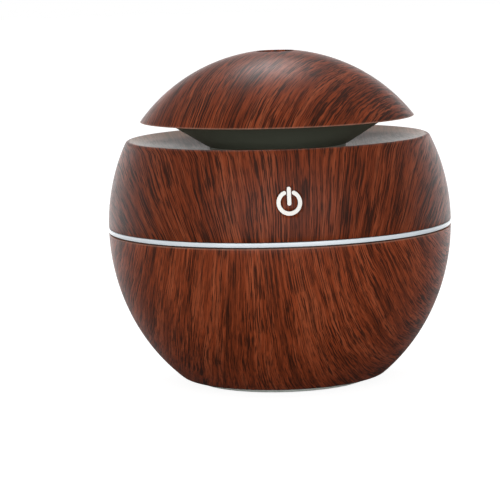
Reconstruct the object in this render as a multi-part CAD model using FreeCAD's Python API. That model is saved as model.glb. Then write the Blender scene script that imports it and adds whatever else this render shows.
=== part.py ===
"""Ball-shaped ultrasonic essential oil diffuser with a lift-off domed lid.

Millimetres, +Z up. The origin is the centre of the footprint, on the surface that the pads stand on.
The power icon faces -Y and the power socket faces +Y.
"""

import FreeCAD, Part
import math
import os

os.makedirs("parts", exist_ok=True)
V = FreeCAD.Vector
UP = V(0, 0, 1)
AXIS_X = V(1, 0, 0)
AXIS_Y = V(0, 1, 0)

# ---------------------------------------------------------------- driving dimensions
# Body form: an oval of revolution, cut off at the bottom and at the rim of the deck.
BODY_RADIUS = 50.0
EQUATOR_Z = 46.5
OVAL_BELOW = 55.2  # semi-axis below the equator
OVAL_ABOVE = 53.5  # semi-axis above the equator
SHELL_BOTTOM_Z = 1.8
RIM_Z = 71.9
WALL = 2.0
RIM_FILLET = 1.3
BOTTOM_FILLET = 3.0

# Light ring between the two shells.
RING_Z = 46.0
RING_BAND = 1.2
RING_GAP_BELOW = 0.4
RING_GAP_ABOVE = 0.15
RING_BAND_DEPTH = 1.1
RING_SET_BACK = 0.05
RING_FLANGE_DEPTH = 8.5
RING_LIP = 1.2
RING_LIP_HEIGHT = 1.0
RING_LIP_CLEARANCE = 0.1
RING_LEG_COUNT = 4
RING_LEG_WIDTH = 3.0
RING_LEG_THICKNESS = 1.6

# Deck and mouth.
DECK_DROP = 4.3
DECK_WALL = 2.0
MOUTH_RADIUS = 20.4
COLLAR_WALL = 2.0
LEDGE_DROP = 9.3  # below the rim
LEDGE_THICKNESS = 1.8

# Lid: a dome cut from a ball, closed below by a funnel.
DOME_RADIUS = 50.0
DOME_CENTRE_Z = 47.0
LID_GAP = 5.3
DOME_WALL = 2.4
OUTLET_RADIUS = 5.5
OUTLET_EDGE = 0.4
FUNNEL_WALL = 1.6
FUNNEL_FLANGE = 1.2
FUNNEL_RECESS = 0.2
FUNNEL_SEAT_CLEARANCE = 0.1
FUNNEL_TOP_RADIUS = 33.2
FUNNEL_FOOT_RADIUS = 20.6
FUNNEL_FOOT_RISE = 2.0  # from the edge of the mouth to the foot of the cone
SKIRT_CLEARANCE = 0.5
SKIRT_LIP = 0.9
SKIRT_LIP_HEIGHT = 0.8
SNAP_COUNT = 4
SNAP_REACH = 0.5
SNAP_WIDTH = 6.0
BAFFLE_HEIGHT = 3.0
BAFFLE_WALL = 1.2
BAFFLE_DISC_RADIUS = 9.0
BAFFLE_SPOKES = 3
BAFFLE_SPOKE_WIDTH = 1.6

# Tank.
TANK_FLOOR_Z = 30.0
TANK_WALL = 1.8
TANK_SIDE_ROOM = 10.2  # from the widest radius of the body to the top of the tank
TANK_TAPER = 6.5
TANK_DROP = 5.9  # below the rim
TANK_FLANGE = 1.8
TANK_FLANGE_WIDTH = 2.5
TANK_SCREW_COUNT = 4
TANK_SCREW_EAR = 2.7
TANK_SCREW_OFFSET = 1.6
GASKET_WIDTH = 2.0
GASKET_THICKNESS = 1.0
GASKET_EDGE = 0.6
GASKET_CLEARANCE = 0.05
DUCT_RADIUS = 3.0
DUCT_WALL = 1.2
DUCT_CLEARANCE = 0.05
DUCT_PLACE_RADIUS = 26.8
DUCT_ANGLE = 45.0
DUCT_DROP = 10.0  # below the top of the tank
HOOD_RADIUS = 5.2
HOOD_THICKNESS = 1.2
HOOD_RISE = 2.5
HOOD_LEG_RADIUS = 0.7

# Transducer under the middle of the tank floor.
PIEZO_RADIUS = 8.0
WINDOW_INSET = 0.5
PIEZO_THICKNESS = 1.2
SEAL_RIM = 2.5
SEAL_HEIGHT = 3.2
SEAL_LIP = 1.2
SEAL_ROOF = 1.5
TRANSDUCER_BOSS_RIM = 4.5
RETAINER_INSET = 0.5
RETAINER_THICKNESS = 1.6
RETAINER_HOLE = 5.5
RETAINER_SCREWS = 3

# Base cover, pads and the posts that tie the body together.
PAD_PROUD = 0.5
PAD_RADIUS = 3.2
PAD_THICKNESS = 1.0
PAD_PLACE_RADIUS = 19.5
COVER_RADIUS = 25.5
COVER_TOP_Z = 3.0
COVER_FLOOR = 1.6
COVER_EDGE_FILLET = 0.8
COVER_RIM_WIDTH = 2.7
COVER_CLEARANCE = 0.2
SHELL_FLOOR = 1.4
SHELL_LEDGE = 1.4
POST_COUNT = 4
POST_PLACE_RADIUS = 20.5
POST_RADIUS = 3.4
POST_FOOT_Z = 6.0
POST_PLATE = 1.5
POST_PLATE_EDGE = 0.6
GRILLE_SLOTS = 12
GRILLE_INNER = 5.0
GRILLE_OUTER = 13.0
GRILLE_SLOT_WIDTH = 1.8

# Fan.
FAN_SIDE = 30.0
FAN_DEPTH = 8.0
FAN_FOOT_Z = 4.0
FAN_RIM = 0.8
FAN_HOLE_INSET = 3.0
FAN_PLATE_RADIUS = 7.0
FAN_PLATE = 1.1
FAN_STRUTS = 4
FAN_STRUT_WIDTH = 2.0
BEARING_TUBE_RADIUS = 2.2
BEARING_RADIUS = 1.3
SHAFT_RADIUS = 0.75
SHAFT_CLEARANCE = 0.05
HUB_RADIUS = 7.6
HUB_WALL = 0.7
HUB_FLOOR = 0.8
MAGNET_WALL = 0.6
AIR_GAP = 0.4
TIP_CLEARANCE = 0.5
BLADE_COUNT = 7
BLADE_THICKNESS = 0.9

# Main board and what it carries.
BOARD_SIDE = 33.0
BOARD_RISE = 4.5  # above the fan
BOARD_THICKNESS = 1.6
BOARD_HOLE_PLACE = 13.5
BOARD_BOSS_RADIUS = 2.2

# Light board.
LIGHT_BOARD_Z = 41.3
LIGHT_BOARD_THICKNESS = 1.2
LIGHT_BOARD_WIDTH = 7.0
LIGHT_LEDGE_WIDTH = 2.4
LIGHT_LEDGE_THICKNESS = 1.5
LED_COUNT = 8
LED_LENGTH = 3.5
LED_WIDTH = 2.8
LED_HEIGHT = 1.9

# Power socket: round, for a 3.5 mm plug on a 1.3 mm pin.
JACK_Z = 17.0
JACK_WIDTH = 9.0
JACK_LENGTH = 10.5
JACK_BARREL_RADIUS = 3.6
JACK_BORE_RADIUS = 1.8
JACK_BORE_DEPTH = 9.0
JACK_PIN_RADIUS = 0.65
JACK_ROOT_RADIUS = 0.95  # the part of the pin that is moulded in
JACK_PIN_SET_BACK = 1.0
JACK_RECESS_RADIUS = 5.0
JACK_BOSS_RADIUS = 6.6
JACK_BOSS_THICKNESS = 2.4
JACK_CLEARANCE = 0.2
CRADLE_SIDE = 3.7
CRADLE_THICKNESS = 3.0
CLAMP_DEPTH = 6.0
CLAMP_TOP = 1.6

# Touch sensor behind the power icon.
ICON_RISE = 11.5  # above the light ring
ICON_OUTER = 3.5
ICON_STROKE = 1.09
ICON_GAP_ANGLE = 27.0  # from the middle of the gap to the middle of the rounded end
ICON_BAR_TOP = 3.75
ICON_BAR_BOTTOM = -0.25
ICON_DEPTH = 0.9
ICON_PROUD = 0.04
ICON_CLEARANCE = 0.06
TOUCH_BOARD_WIDTH = 14.0
TOUCH_BOARD_HEIGHT = 11.0
TOUCH_BOARD_THICKNESS = 1.2
TOUCH_BOARD_STAND_OFF = 2.1
TOUCH_SCREW_PLACE = 5.0
FOAM_RADIUS = 2.6
FOAM_CLEARANCE = 0.1

# Screws: shank radius, head radius and head height.
SCREW_CLEARANCE = 0.05
SMALL_SCREW = (0.85, 1.7, 1.2)
BASE_SCREW = (1.2, 2.3, 1.6)
BASE_SCREW_LENGTH = 11.5
LEAD_RADIUS = 0.5
LEAD_BEND = 2.5

# ---------------------------------------------------------------- derived sizes and places
LEDGE_Z = RIM_Z - LEDGE_DROP
TANK_TOP_Z = RIM_Z - TANK_DROP
DUCT_TOP_Z = TANK_TOP_Z - DUCT_DROP
ICON_Z = RING_Z + ICON_RISE
CRADLE_HALF_WIDTH = JACK_WIDTH / 2 + CRADLE_SIDE
WINDOW_RADIUS = PIEZO_RADIUS - WINDOW_INSET
SEAL_RADIUS = PIEZO_RADIUS + SEAL_RIM
TRANSDUCER_BOSS_RADIUS = SEAL_RADIUS + TRANSDUCER_BOSS_RIM
RETAINER_RADIUS = TRANSDUCER_BOSS_RADIUS - RETAINER_INSET
FAN_BORE = FAN_SIDE / 2 - FAN_RIM
FAN_HOLE_SPACING = FAN_SIDE - 2 * FAN_HOLE_INSET
DOME_RIM_Z = RIM_Z + LID_GAP
COVER_BOTTOM_Z = PAD_PROUD
COVER_FLOOR_Z = COVER_BOTTOM_Z + COVER_FLOOR
SHELL_FLOOR_Z = COVER_TOP_Z + SHELL_FLOOR
RING_BAND_LOW = RING_Z - RING_BAND / 2
RING_BAND_HIGH = RING_Z + RING_BAND / 2
LOWER_TOP_Z = RING_BAND_LOW - RING_GAP_BELOW
UPPER_BOTTOM_Z = RING_BAND_HIGH + RING_GAP_ABOVE
TANK_UNDER_Z = TANK_FLOOR_Z - TANK_WALL
TANK_TOP_RADIUS = BODY_RADIUS - TANK_SIDE_ROOM
TANK_SCREW_PLACE = TANK_TOP_RADIUS + TANK_SCREW_OFFSET
SEAL_BOTTOM_Z = TANK_FLOOR_Z - SEAL_ROOF - SEAL_HEIGHT
FAN_TOP_Z = FAN_FOOT_Z + FAN_DEPTH
BOARD_Z = FAN_TOP_Z + BOARD_RISE
BOARD_TOP_Z = BOARD_Z + BOARD_THICKNESS
HUB_FOOT_Z = FAN_FOOT_Z + 0.6
HUB_TOP_Z = FAN_TOP_Z - FAN_PLATE - 0.5
SKIRT_RADIUS = MOUTH_RADIUS - SKIRT_CLEARANCE
SKIRT_BORE = SKIRT_RADIUS - FUNNEL_WALL
LID_PASSAGE_RADIUS = SKIRT_BORE - SKIRT_LIP
FAR = 200.0


# ---------------------------------------------------------------- helpers
def cylinder(radius, z_low, z_high, place=V(0, 0, 0)):
    return Part.makeCylinder(radius, z_high - z_low, V(place.x, place.y, z_low))


def ring(outer, inner, z_low, z_high, place=V(0, 0, 0)):
    return cylinder(outer, z_low, z_high, place).cut(cylinder(inner, z_low - 1, z_high + 1, place))


def along_y(radius, y_low, y_high, x=0.0, z=0.0):
    return Part.makeCylinder(radius, y_high - y_low, V(x, y_low, z), AXIS_Y)


def block(x_low, x_high, y_low, y_high, z_low, z_high):
    return Part.makeBox(x_high - x_low, y_high - y_low, z_high - z_low, V(x_low, y_low, z_low))


def polar(radius, degrees, z=0.0):
    return V(radius * math.cos(math.radians(degrees)), radius * math.sin(math.radians(degrees)), z)


def lines(points):
    """Straight edges through (radius, z) points."""
    places = [V(r, 0, z) for r, z in points]
    return [Part.LineSegment(a, b).toShape() for a, b in zip(places, places[1:])]


def lathe(edges):
    """Turns a closed outline about the Z axis."""
    outline = Part.Wire(Part.__sortEdges__(edges))
    return Part.Face(outline).revolve(V(0, 0, 0), UP, 360)


def lathe_points(points):
    return lathe(lines(points + points[:1]))


def turned(shape, degrees):
    copy = shape.copy()
    copy.rotate(V(0, 0, 0), UP, degrees)
    return copy


def spread(shape, count, start=0.0):
    """Copies of a shape, evenly turned about the Z axis."""
    return [turned(shape, start + 360.0 * k / count) for k in range(count)]


def joined(shapes):
    whole = shapes[0].multiFuse(shapes[1:])
    clean = whole.removeSplitter()
    return clean if clean.isValid() else whole


def round_edges(shape):
    return [e for e in shape.Edges if not e.Degenerated and isinstance(e.Curve, Part.Circle)]


def circle_edges(shape, radius, z):
    """The round edges of a shape that lie at this radius and height."""
    return [e for e in round_edges(shape)
            if abs(e.Curve.Radius - radius) < 0.02 and abs(e.Curve.Center.z - z) < 0.02]


def edges_along(shape, direction):
    """The straight edges of a shape that run along a direction."""
    return [e for e in shape.Edges if not e.Degenerated and abs(e.tangentAt(e.FirstParameter).dot(direction)) > 0.99]


def oval_arc(z_from, z_to, inset=0.0):
    """The outline of the body between two heights on one side of the equator, taken in by inset."""
    above = z_from + z_to > 2 * EQUATOR_Z
    height = (OVAL_ABOVE if above else OVAL_BELOW) - inset
    centre = V(0, 0, EQUATOR_Z)
    pole = centre + UP * (height if above else -height)
    side = centre + AXIS_X * (BODY_RADIUS - inset)
    shares = [min(1.0, abs(z - EQUATOR_Z) / height) for z in (z_from, z_to)]
    if height >= BODY_RADIUS - inset:
        curve, turns = Part.Ellipse(pole, side, centre), [math.acos(share) for share in shares]
    else:
        curve, turns = Part.Ellipse(side, pole, centre), [math.asin(share) for share in shares]
    return Part.Arc(curve, min(turns), max(turns)).toShape()


def body_form(inset):
    """The whole body as a solid, taken in by inset all over."""
    low, high = EQUATOR_Z - OVAL_BELOW + inset, EQUATOR_Z + OVAL_ABOVE - inset
    spine = Part.LineSegment(V(0, 0, low), V(0, 0, high)).toShape()
    return lathe([spine, oval_arc(low, EQUATOR_Z, inset), oval_arc(EQUATOR_Z, high, inset)])


def body_radius_at(z, inset=0.0):
    height = OVAL_ABOVE if z > EQUATOR_Z else OVAL_BELOW
    return (BODY_RADIUS - inset) * math.sqrt(1 - ((z - EQUATOR_Z) / (height - inset)) ** 2)


def dome_radius_at(z, inset=0.0):
    return math.sqrt((DOME_RADIUS - inset) ** 2 - (z - DOME_CENTRE_Z) ** 2)


def deck_ball():
    """The large ball whose underside is the surface of the dished deck, and its drop below the rim."""
    edge = body_radius_at(RIM_Z)
    radius = (edge**2 - MOUTH_RADIUS**2 + DECK_DROP**2) / (2 * DECK_DROP)
    radius = math.sqrt(MOUTH_RADIUS**2 + radius**2)
    centre = RIM_Z - DECK_DROP + math.sqrt(radius**2 - MOUTH_RADIUS**2)
    return radius, centre


def deck_z_at(radius):
    ball, centre = deck_ball()
    return centre - math.sqrt(ball**2 - radius**2)


def deck_arc(radius_from, radius_to, lowered=0.0):
    """The outline of the deck, or of its underside, between two radii."""
    ends = [V(r, 0, deck_z_at(r) - lowered) for r in (radius_from, (radius_from + radius_to) / 2, radius_to)]
    return Part.Arc(*ends).toShape()


def below_deck(lowered):
    """Everything under the deck, down to the middle of the body."""
    radius = BODY_RADIUS
    top = [deck_arc(0.0, radius, lowered)]
    sides = lines([(radius, deck_z_at(radius) - lowered), (radius, EQUATOR_Z), (0, EQUATOR_Z),
                   (0, deck_z_at(0) - lowered)])
    return lathe(top + sides)


def deck_edge_radius():
    """Where the underside of the deck meets the inside of the body's wall."""
    radius = BODY_RADIUS - WALL
    for step in range(30):
        radius = (radius + body_radius_at(deck_z_at(radius) - DECK_WALL, WALL)) / 2
    return radius


def tank_radius_at(z):
    """Outer radius of the tank wall."""
    share = (z - TANK_UNDER_Z) / (TANK_TOP_Z - TANK_UNDER_Z)
    return TANK_TOP_RADIUS - TANK_TAPER * (1 - share)


def screw(size, length, head_seat, direction):
    """A round-headed screw: its head rests at head_seat and its shank runs along direction."""
    shank, head, height = size
    body = Part.makeCylinder(shank, length, head_seat, direction)
    cap = Part.makeCylinder(head, height, head_seat - direction * height, direction)
    outer_edge = [e for e in round_edges(cap) if (e.Curve.Center - head_seat).Length > height / 2]
    cap = cap.makeFillet(height * 0.35, outer_edge)
    slot = Part.makeCylinder(head * 0.42, height * 0.5, head_seat - direction * height, direction)
    return body.fuse(cap.cut(slot)).removeSplitter()


def lead(points, radius=LEAD_RADIUS, bend=LEAD_BEND):
    """A round wire along straight runs that are joined by tangent arcs."""
    edges, start = [], points[0]
    for before, corner, after in zip(points, points[1:], points[2:]):
        inward, outward = (corner - before).normalize(), (after - corner).normalize()
        turn = inward.getAngle(outward)
        arc_radius = min(bend, 0.45 * min((corner - before).Length, (after - corner).Length) / math.tan(turn / 2))
        reach = arc_radius * math.tan(turn / 2)
        entry, leave = corner - inward * reach, corner + outward * reach
        towards = (outward - inward).normalize()
        middle = corner + towards * (arc_radius / math.cos(turn / 2) - arc_radius)
        edges.append(Part.LineSegment(start, entry).toShape())
        edges.append(Part.Arc(entry, middle, leave).toShape())
        start = leave
    edges.append(Part.LineSegment(start, points[-1]).toShape())
    path = Part.Wire(edges)
    section = Part.Wire([Part.Circle(points[0], points[1] - points[0], radius).toShape()])
    tube = path.makePipeShell([section], True, False, 2)
    length = path.Length
    print("lead", round(length, 1), "mm, volume share", round(tube.Volume / (math.pi * radius**2 * length), 3))
    return tube


def save(name, shape):
    solids = shape if isinstance(shape, list) else [shape]
    solids = [s for shape in solids for s in shape.Solids]
    assert solids and all(s.isValid() and s.Volume > 0 for s in solids), name
    whole = solids[0] if len(solids) == 1 else Part.makeCompound(solids)
    whole.exportStep(os.path.join("parts", name + ".step"))


# ---------------------------------------------------------------- lid
def make_dome():
    outer = Part.makeSphere(DOME_RADIUS, V(0, 0, DOME_CENTRE_Z))
    inner = Part.makeSphere(DOME_RADIUS - DOME_WALL, V(0, 0, DOME_CENTRE_Z))
    dome = outer.cut(inner).cut(cylinder(FAR, -FAR, DOME_RIM_Z))
    dome = dome.cut(cylinder(OUTLET_RADIUS, DOME_RIM_Z, FAR))
    top = DOME_CENTRE_Z + math.sqrt(DOME_RADIUS**2 - OUTLET_RADIUS**2)
    dome = dome.makeFillet(OUTLET_EDGE, circle_edges(dome, OUTLET_RADIUS, top))
    dome = dome.cut(cylinder(FUNNEL_SEAT_RADIUS, DOME_RIM_Z - 1, FUNNEL_SEAT_Z))
    pockets = [snap_lug(0.1, 0.15, angle) for angle in SNAP_ANGLES]
    return dome.cut(joined(pockets))


FUNNEL_SEAT_Z = DOME_RIM_Z + FUNNEL_RECESS + FUNNEL_FLANGE
FUNNEL_SEAT_RADIUS = dome_radius_at(DOME_RIM_Z, DOME_WALL) + 2 * FUNNEL_SEAT_CLEARANCE
FUNNEL_FLANGE_RADIUS = FUNNEL_SEAT_RADIUS - FUNNEL_SEAT_CLEARANCE
FUNNEL_FOOT_Z = deck_z_at(MOUTH_RADIUS) + FUNNEL_FOOT_RISE
SNAP_ANGLES = [45.0 + 360.0 * k / SNAP_COUNT for k in range(SNAP_COUNT)]


def snap_lug(side_room, end_room, angle):
    """A lug on the edge of the funnel's flange, or, with room added, the pocket that it snaps into."""
    middle = DOME_RIM_Z + FUNNEL_RECESS + FUNNEL_FLANGE / 2
    half = FUNNEL_FLANGE / 4 + end_room
    reach = FUNNEL_FLANGE_RADIUS + SNAP_REACH + side_room
    lug = block(FUNNEL_FLANGE_RADIUS - 1, reach, -SNAP_WIDTH / 2 - side_room, SNAP_WIDTH / 2 + side_room,
                middle - half, middle + half)
    return turned(lug, angle)


def make_funnel():
    flange_low = DOME_RIM_Z + FUNNEL_RECESS
    flange_high = flange_low + FUNNEL_FLANGE
    rise = (flange_low - FUNNEL_FOOT_Z) / (FUNNEL_TOP_RADIUS - FUNNEL_FOOT_RADIUS)
    inner_shift = FUNNEL_WALL * math.sqrt(1 + rise**2) / rise  # across the cone, for an even wall
    inner_top = FUNNEL_TOP_RADIUS - inner_shift + FUNNEL_FLANGE / rise
    inner_foot_z = FUNNEL_FOOT_Z + (SKIRT_BORE - FUNNEL_FOOT_RADIUS + inner_shift) * rise
    outline = [
        (FUNNEL_FLANGE_RADIUS, flange_low),
        (FUNNEL_FLANGE_RADIUS, flange_high),
        (inner_top, flange_high),
        (SKIRT_BORE, inner_foot_z),
        (SKIRT_BORE, LEDGE_Z + SKIRT_LIP_HEIGHT),
        (LID_PASSAGE_RADIUS, LEDGE_Z + SKIRT_LIP_HEIGHT),
        (LID_PASSAGE_RADIUS, LEDGE_Z),
        (SKIRT_RADIUS, LEDGE_Z),
        (SKIRT_RADIUS, FUNNEL_FOOT_Z),
        (FUNNEL_FOOT_RADIUS, FUNNEL_FOOT_Z),
        (FUNNEL_TOP_RADIUS, flange_low),
    ]
    lugs = [snap_lug(0.0, 0.0, angle) for angle in SNAP_ANGLES]
    return joined([lathe_points(outline)] + lugs)


def make_baffle():
    """A disc on spokes in the skirt, which stops splashes and lets the mist round it."""
    low = LEDGE_Z + SKIRT_LIP_HEIGHT
    high = low + BAFFLE_HEIGHT
    outer = SKIRT_BORE - 0.1
    hoop = ring(outer, outer - BAFFLE_WALL, low, high)
    disc = lathe_points([(0, low), (BAFFLE_DISC_RADIUS, low), (BAFFLE_DISC_RADIUS, low + 1.0), (0, high)])
    spoke = block(1, outer - BAFFLE_WALL / 2, -BAFFLE_SPOKE_WIDTH / 2, BAFFLE_SPOKE_WIDTH / 2, low, low + 1.6)
    return joined([hoop, disc] + spread(spoke, BAFFLE_SPOKES, 90.0))


# ---------------------------------------------------------------- outer shells
def icon_solids(room, depth, proud):
    """The ring and bar of the power icon as solids through the front wall, grown all round by room."""
    surface = body_radius_at(ICON_Z)
    front, back = -surface - 3.0, -surface + 3.0
    middle = ICON_OUTER - ICON_STROKE / 2
    half = ICON_STROKE / 2 + room
    hoop = along_y(middle + half, front, back).cut(along_y(middle - half, front - 1, back + 1))
    reach = 3 * ICON_OUTER
    gap_x = reach * math.tan(math.radians(ICON_GAP_ANGLE))
    wedge = Part.Face(Part.makePolygon([V(0, front - 1, 0), V(gap_x, front - 1, reach), V(-gap_x, front - 1, reach),
                                        V(0, front - 1, 0)])).extrude(V(0, back - front + 2, 0))
    ends = []
    for side in (-1, 1):
        angle = math.radians(90 - side * ICON_GAP_ANGLE)
        ends.append(along_y(half, front, back, middle * math.cos(angle), middle * math.sin(angle)))
    arc = joined([hoop.cut(wedge)] + ends)
    bar = joined([
        block(-half, half, front, back, ICON_BAR_BOTTOM, ICON_BAR_TOP),
        along_y(half, front, back, 0, ICON_BAR_BOTTOM),
        along_y(half, front, back, 0, ICON_BAR_TOP),
    ])
    outside, inside = body_form(-proud), body_form(depth)
    parts = []
    for stroke in (arc, bar):
        stroke.translate(V(0, 0, ICON_Z))
        parts.append(stroke.common(outside).cut(inside))
    return parts


def make_icon():
    return icon_solids(0.0, ICON_DEPTH, ICON_PROUD)


def make_upper_shell():
    rim, edge = body_radius_at(RIM_Z), deck_edge_radius()
    outside = [oval_arc(UPPER_BOTTOM_Z, RIM_Z), deck_arc(rim, MOUTH_RADIUS)]
    mouth = lines([(MOUTH_RADIUS, deck_z_at(MOUTH_RADIUS)), (MOUTH_RADIUS, MOUTH_UNDER_Z)])
    land = lines([
        (LAND_INNER, deck_z_at(LAND_INNER) - DECK_WALL), (LAND_INNER, TANK_TOP_Z), (LAND_OUTER, TANK_TOP_Z),
        (LAND_OUTER, deck_z_at(LAND_OUTER) - DECK_WALL),
    ])
    under = [deck_arc(MOUTH_RADIUS, LAND_INNER, DECK_WALL), deck_arc(LAND_OUTER, edge, DECK_WALL)]
    side = [oval_arc(deck_z_at(edge) - DECK_WALL, UPPER_BOTTOM_Z, WALL)]
    foot = lines([(body_radius_at(UPPER_BOTTOM_Z, WALL), UPPER_BOTTOM_Z),
                  (body_radius_at(UPPER_BOTTOM_Z), UPPER_BOTTOM_Z)])
    shell = lathe(outside + mouth + under + land + side + foot)
    shell = shell.makeFillet(RIM_FILLET, circle_edges(shell, rim, RIM_Z))
    ear = cylinder(TANK_SCREW_EAR, TANK_TOP_Z, RIM_Z, V(TANK_SCREW_PLACE, 0, 0))
    ear = ear.common(below_deck(DECK_WALL / 2)).common(body_form(WALL / 2))
    shell = joined([shell] + spread(ear, TANK_SCREW_COUNT, 45.0))
    pilot = cylinder(SMALL_SCREW[0] + SCREW_CLEARANCE, TANK_TOP_Z - 1, TANK_TOP_Z + TANK_PILOT_DEPTH,
                     V(TANK_SCREW_PLACE, 0, 0))
    for hole in spread(pilot, TANK_SCREW_COUNT, 45.0):
        shell = shell.cut(hole)
    for stroke in icon_solids(ICON_CLEARANCE, ICON_DEPTH + ICON_CLEARANCE, 1.0):
        shell = shell.cut(stroke)
    return shell


def make_mouth_ring():
    """The collar bonded under the edge of the mouth, with the ledge that the lid's skirt stands on."""
    collar, low = MOUTH_RADIUS + COLLAR_WALL, LEDGE_Z - LEDGE_THICKNESS
    return lathe_points([(MOUTH_RADIUS, MOUTH_UNDER_Z), (MOUTH_RADIUS, LEDGE_Z), (LID_PASSAGE_RADIUS, LEDGE_Z),
                         (LID_PASSAGE_RADIUS, low), (collar, low), (collar, MOUTH_UNDER_Z)])


MOUTH_UNDER_Z = deck_z_at(MOUTH_RADIUS) - DECK_WALL
GASKET_INNER = TANK_TOP_RADIUS - TANK_WALL
LAND_INNER = GASKET_INNER - GASKET_EDGE
LAND_OUTER = TANK_TOP_RADIUS + TANK_FLANGE_WIDTH / 2
TANK_PILOT_DEPTH = 3.0


def make_light_ring():
    """Band and flange of the ring, with lips that centre both shells and legs that hold the light board."""
    outer = BODY_RADIUS - RING_SET_BACK
    step = outer - RING_BAND_DEPTH
    inner = outer - RING_FLANGE_DEPTH
    foot = body_radius_at(LOWER_TOP_Z - RING_LIP_HEIGHT, WALL) - RING_LIP_CLEARANCE
    head = body_radius_at(UPPER_BOTTOM_Z + RING_LIP_HEIGHT, WALL) - RING_LIP_CLEARANCE
    band = lathe_points([
        (inner, LOWER_TOP_Z), (foot - RING_LIP, LOWER_TOP_Z), (foot - RING_LIP, LOWER_TOP_Z - RING_LIP_HEIGHT),
        (foot, LOWER_TOP_Z - RING_LIP_HEIGHT), (foot, LOWER_TOP_Z), (step, LOWER_TOP_Z),
        (step, RING_BAND_LOW), (outer, RING_BAND_LOW), (outer, RING_BAND_HIGH), (step, RING_BAND_HIGH),
        (step, UPPER_BOTTOM_Z), (head, UPPER_BOTTOM_Z), (head, UPPER_BOTTOM_Z + RING_LIP_HEIGHT),
        (head - RING_LIP, UPPER_BOTTOM_Z + RING_LIP_HEIGHT), (head - RING_LIP, UPPER_BOTTOM_Z),
        (inner, UPPER_BOTTOM_Z),
    ])
    leg_outer = foot - RING_LIP - 0.5
    leg = block(leg_outer - RING_LEG_THICKNESS, leg_outer, -RING_LEG_WIDTH / 2, RING_LEG_WIDTH / 2,
                LIGHT_BOARD_Z + LIGHT_BOARD_THICKNESS, LOWER_TOP_Z + 0.5)
    return joined([band] + spread(leg, RING_LEG_COUNT))


def make_lower_shell():
    bottom, seat = body_radius_at(SHELL_BOTTOM_Z), COVER_RADIUS + COVER_CLEARANCE
    ledge_low = LIGHT_BOARD_Z - LIGHT_LEDGE_THICKNESS
    ledge = body_radius_at(LIGHT_BOARD_Z, WALL) - LIGHT_LEDGE_WIDTH
    curves = [oval_arc(SHELL_BOTTOM_Z, LOWER_TOP_Z), oval_arc(LOWER_TOP_Z, LIGHT_BOARD_Z, WALL),
              oval_arc(ledge_low, SHELL_FLOOR_Z, WALL)]
    top = lines([(body_radius_at(LOWER_TOP_Z), LOWER_TOP_Z), (body_radius_at(LOWER_TOP_Z, WALL), LOWER_TOP_Z)])
    shelf = lines([(body_radius_at(LIGHT_BOARD_Z, WALL), LIGHT_BOARD_Z), (ledge, LIGHT_BOARD_Z),
                   (ledge, ledge_low), (body_radius_at(ledge_low, WALL), ledge_low)])
    floor = lines([(body_radius_at(SHELL_FLOOR_Z, WALL), SHELL_FLOOR_Z), (seat - SHELL_LEDGE, SHELL_FLOOR_Z),
                   (seat - SHELL_LEDGE, COVER_TOP_Z), (seat, COVER_TOP_Z), (seat, SHELL_BOTTOM_Z),
                   (bottom, SHELL_BOTTOM_Z)])
    shell = lathe(curves + top + shelf + floor)
    shell = shell.makeFillet(BOTTOM_FILLET, circle_edges(shell, bottom, SHELL_BOTTOM_Z))
    boss = along_y(JACK_BOSS_RADIUS, JACK_FRONT_Y, BODY_RADIUS, z=JACK_Z)
    cradle = block(-CRADLE_HALF_WIDTH, CRADLE_HALF_WIDTH, CRADLE_REAR_Y, BODY_RADIUS,
                   JACK_LOW_Z - CRADLE_THICKNESS, JACK_LOW_Z)
    inside = joined([boss, cradle]).common(body_form(WALL / 2))
    shell = joined([shell, inside])
    shell = shell.cut(along_y(JACK_RECESS_RADIUS, JACK_FACE_Y, FAR, z=JACK_Z))
    shell = shell.cut(along_y(JACK_BARREL_RADIUS + JACK_CLEARANCE, JACK_FRONT_Y - 1, FAR, z=JACK_Z))
    shank = SMALL_SCREW[0] + SCREW_CLEARANCE
    for side in (-1, 1):
        shell = shell.cut(cylinder(shank, JACK_LOW_Z - CRADLE_THICKNESS + 0.6, JACK_LOW_Z + 1,
                                   V(side * CLAMP_SCREW_X, CLAMP_MIDDLE_Y, 0)))
    return shell


# ---------------------------------------------------------------- power socket
JACK_LOW_Z = JACK_Z - JACK_WIDTH / 2
JACK_HIGH_Z = JACK_Z + JACK_WIDTH / 2
JACK_FACE_Y = body_radius_at(JACK_Z - JACK_RECESS_RADIUS) - 0.4
JACK_FRONT_Y = JACK_FACE_Y - JACK_BOSS_THICKNESS
JACK_REAR_Y = JACK_FRONT_Y - JACK_LENGTH
CRADLE_REAR_Y = JACK_REAR_Y + 1.5
CLAMP_MIDDLE_Y = CRADLE_REAR_Y + 4.0
CLAMP_SCREW_X = CRADLE_HALF_WIDTH - 1.9
JACK_TAB = 1.8
JACK_TAB_LOW_Z = JACK_LOW_Z + 1.2


def make_jack():
    """Socket body with its threaded-look barrel, hollow for the plug."""
    half = JACK_WIDTH / 2
    body = block(-half, half, JACK_REAR_Y, JACK_FRONT_Y, JACK_LOW_Z, JACK_HIGH_Z)
    body = body.makeFillet(0.5, edges_along(body, AXIS_Y))
    barrel = along_y(JACK_BARREL_RADIUS, JACK_FRONT_Y - 1, JACK_FACE_Y, z=JACK_Z)
    bore = along_y(JACK_BORE_RADIUS, JACK_FACE_Y - JACK_BORE_DEPTH, JACK_FACE_Y + 1, z=JACK_Z)
    pin_hole = along_y(JACK_ROOT_RADIUS + 0.02, JACK_REAR_Y - 1, JACK_FACE_Y, z=JACK_Z)
    return joined([body, barrel]).cut(bore).cut(pin_hole)


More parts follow.
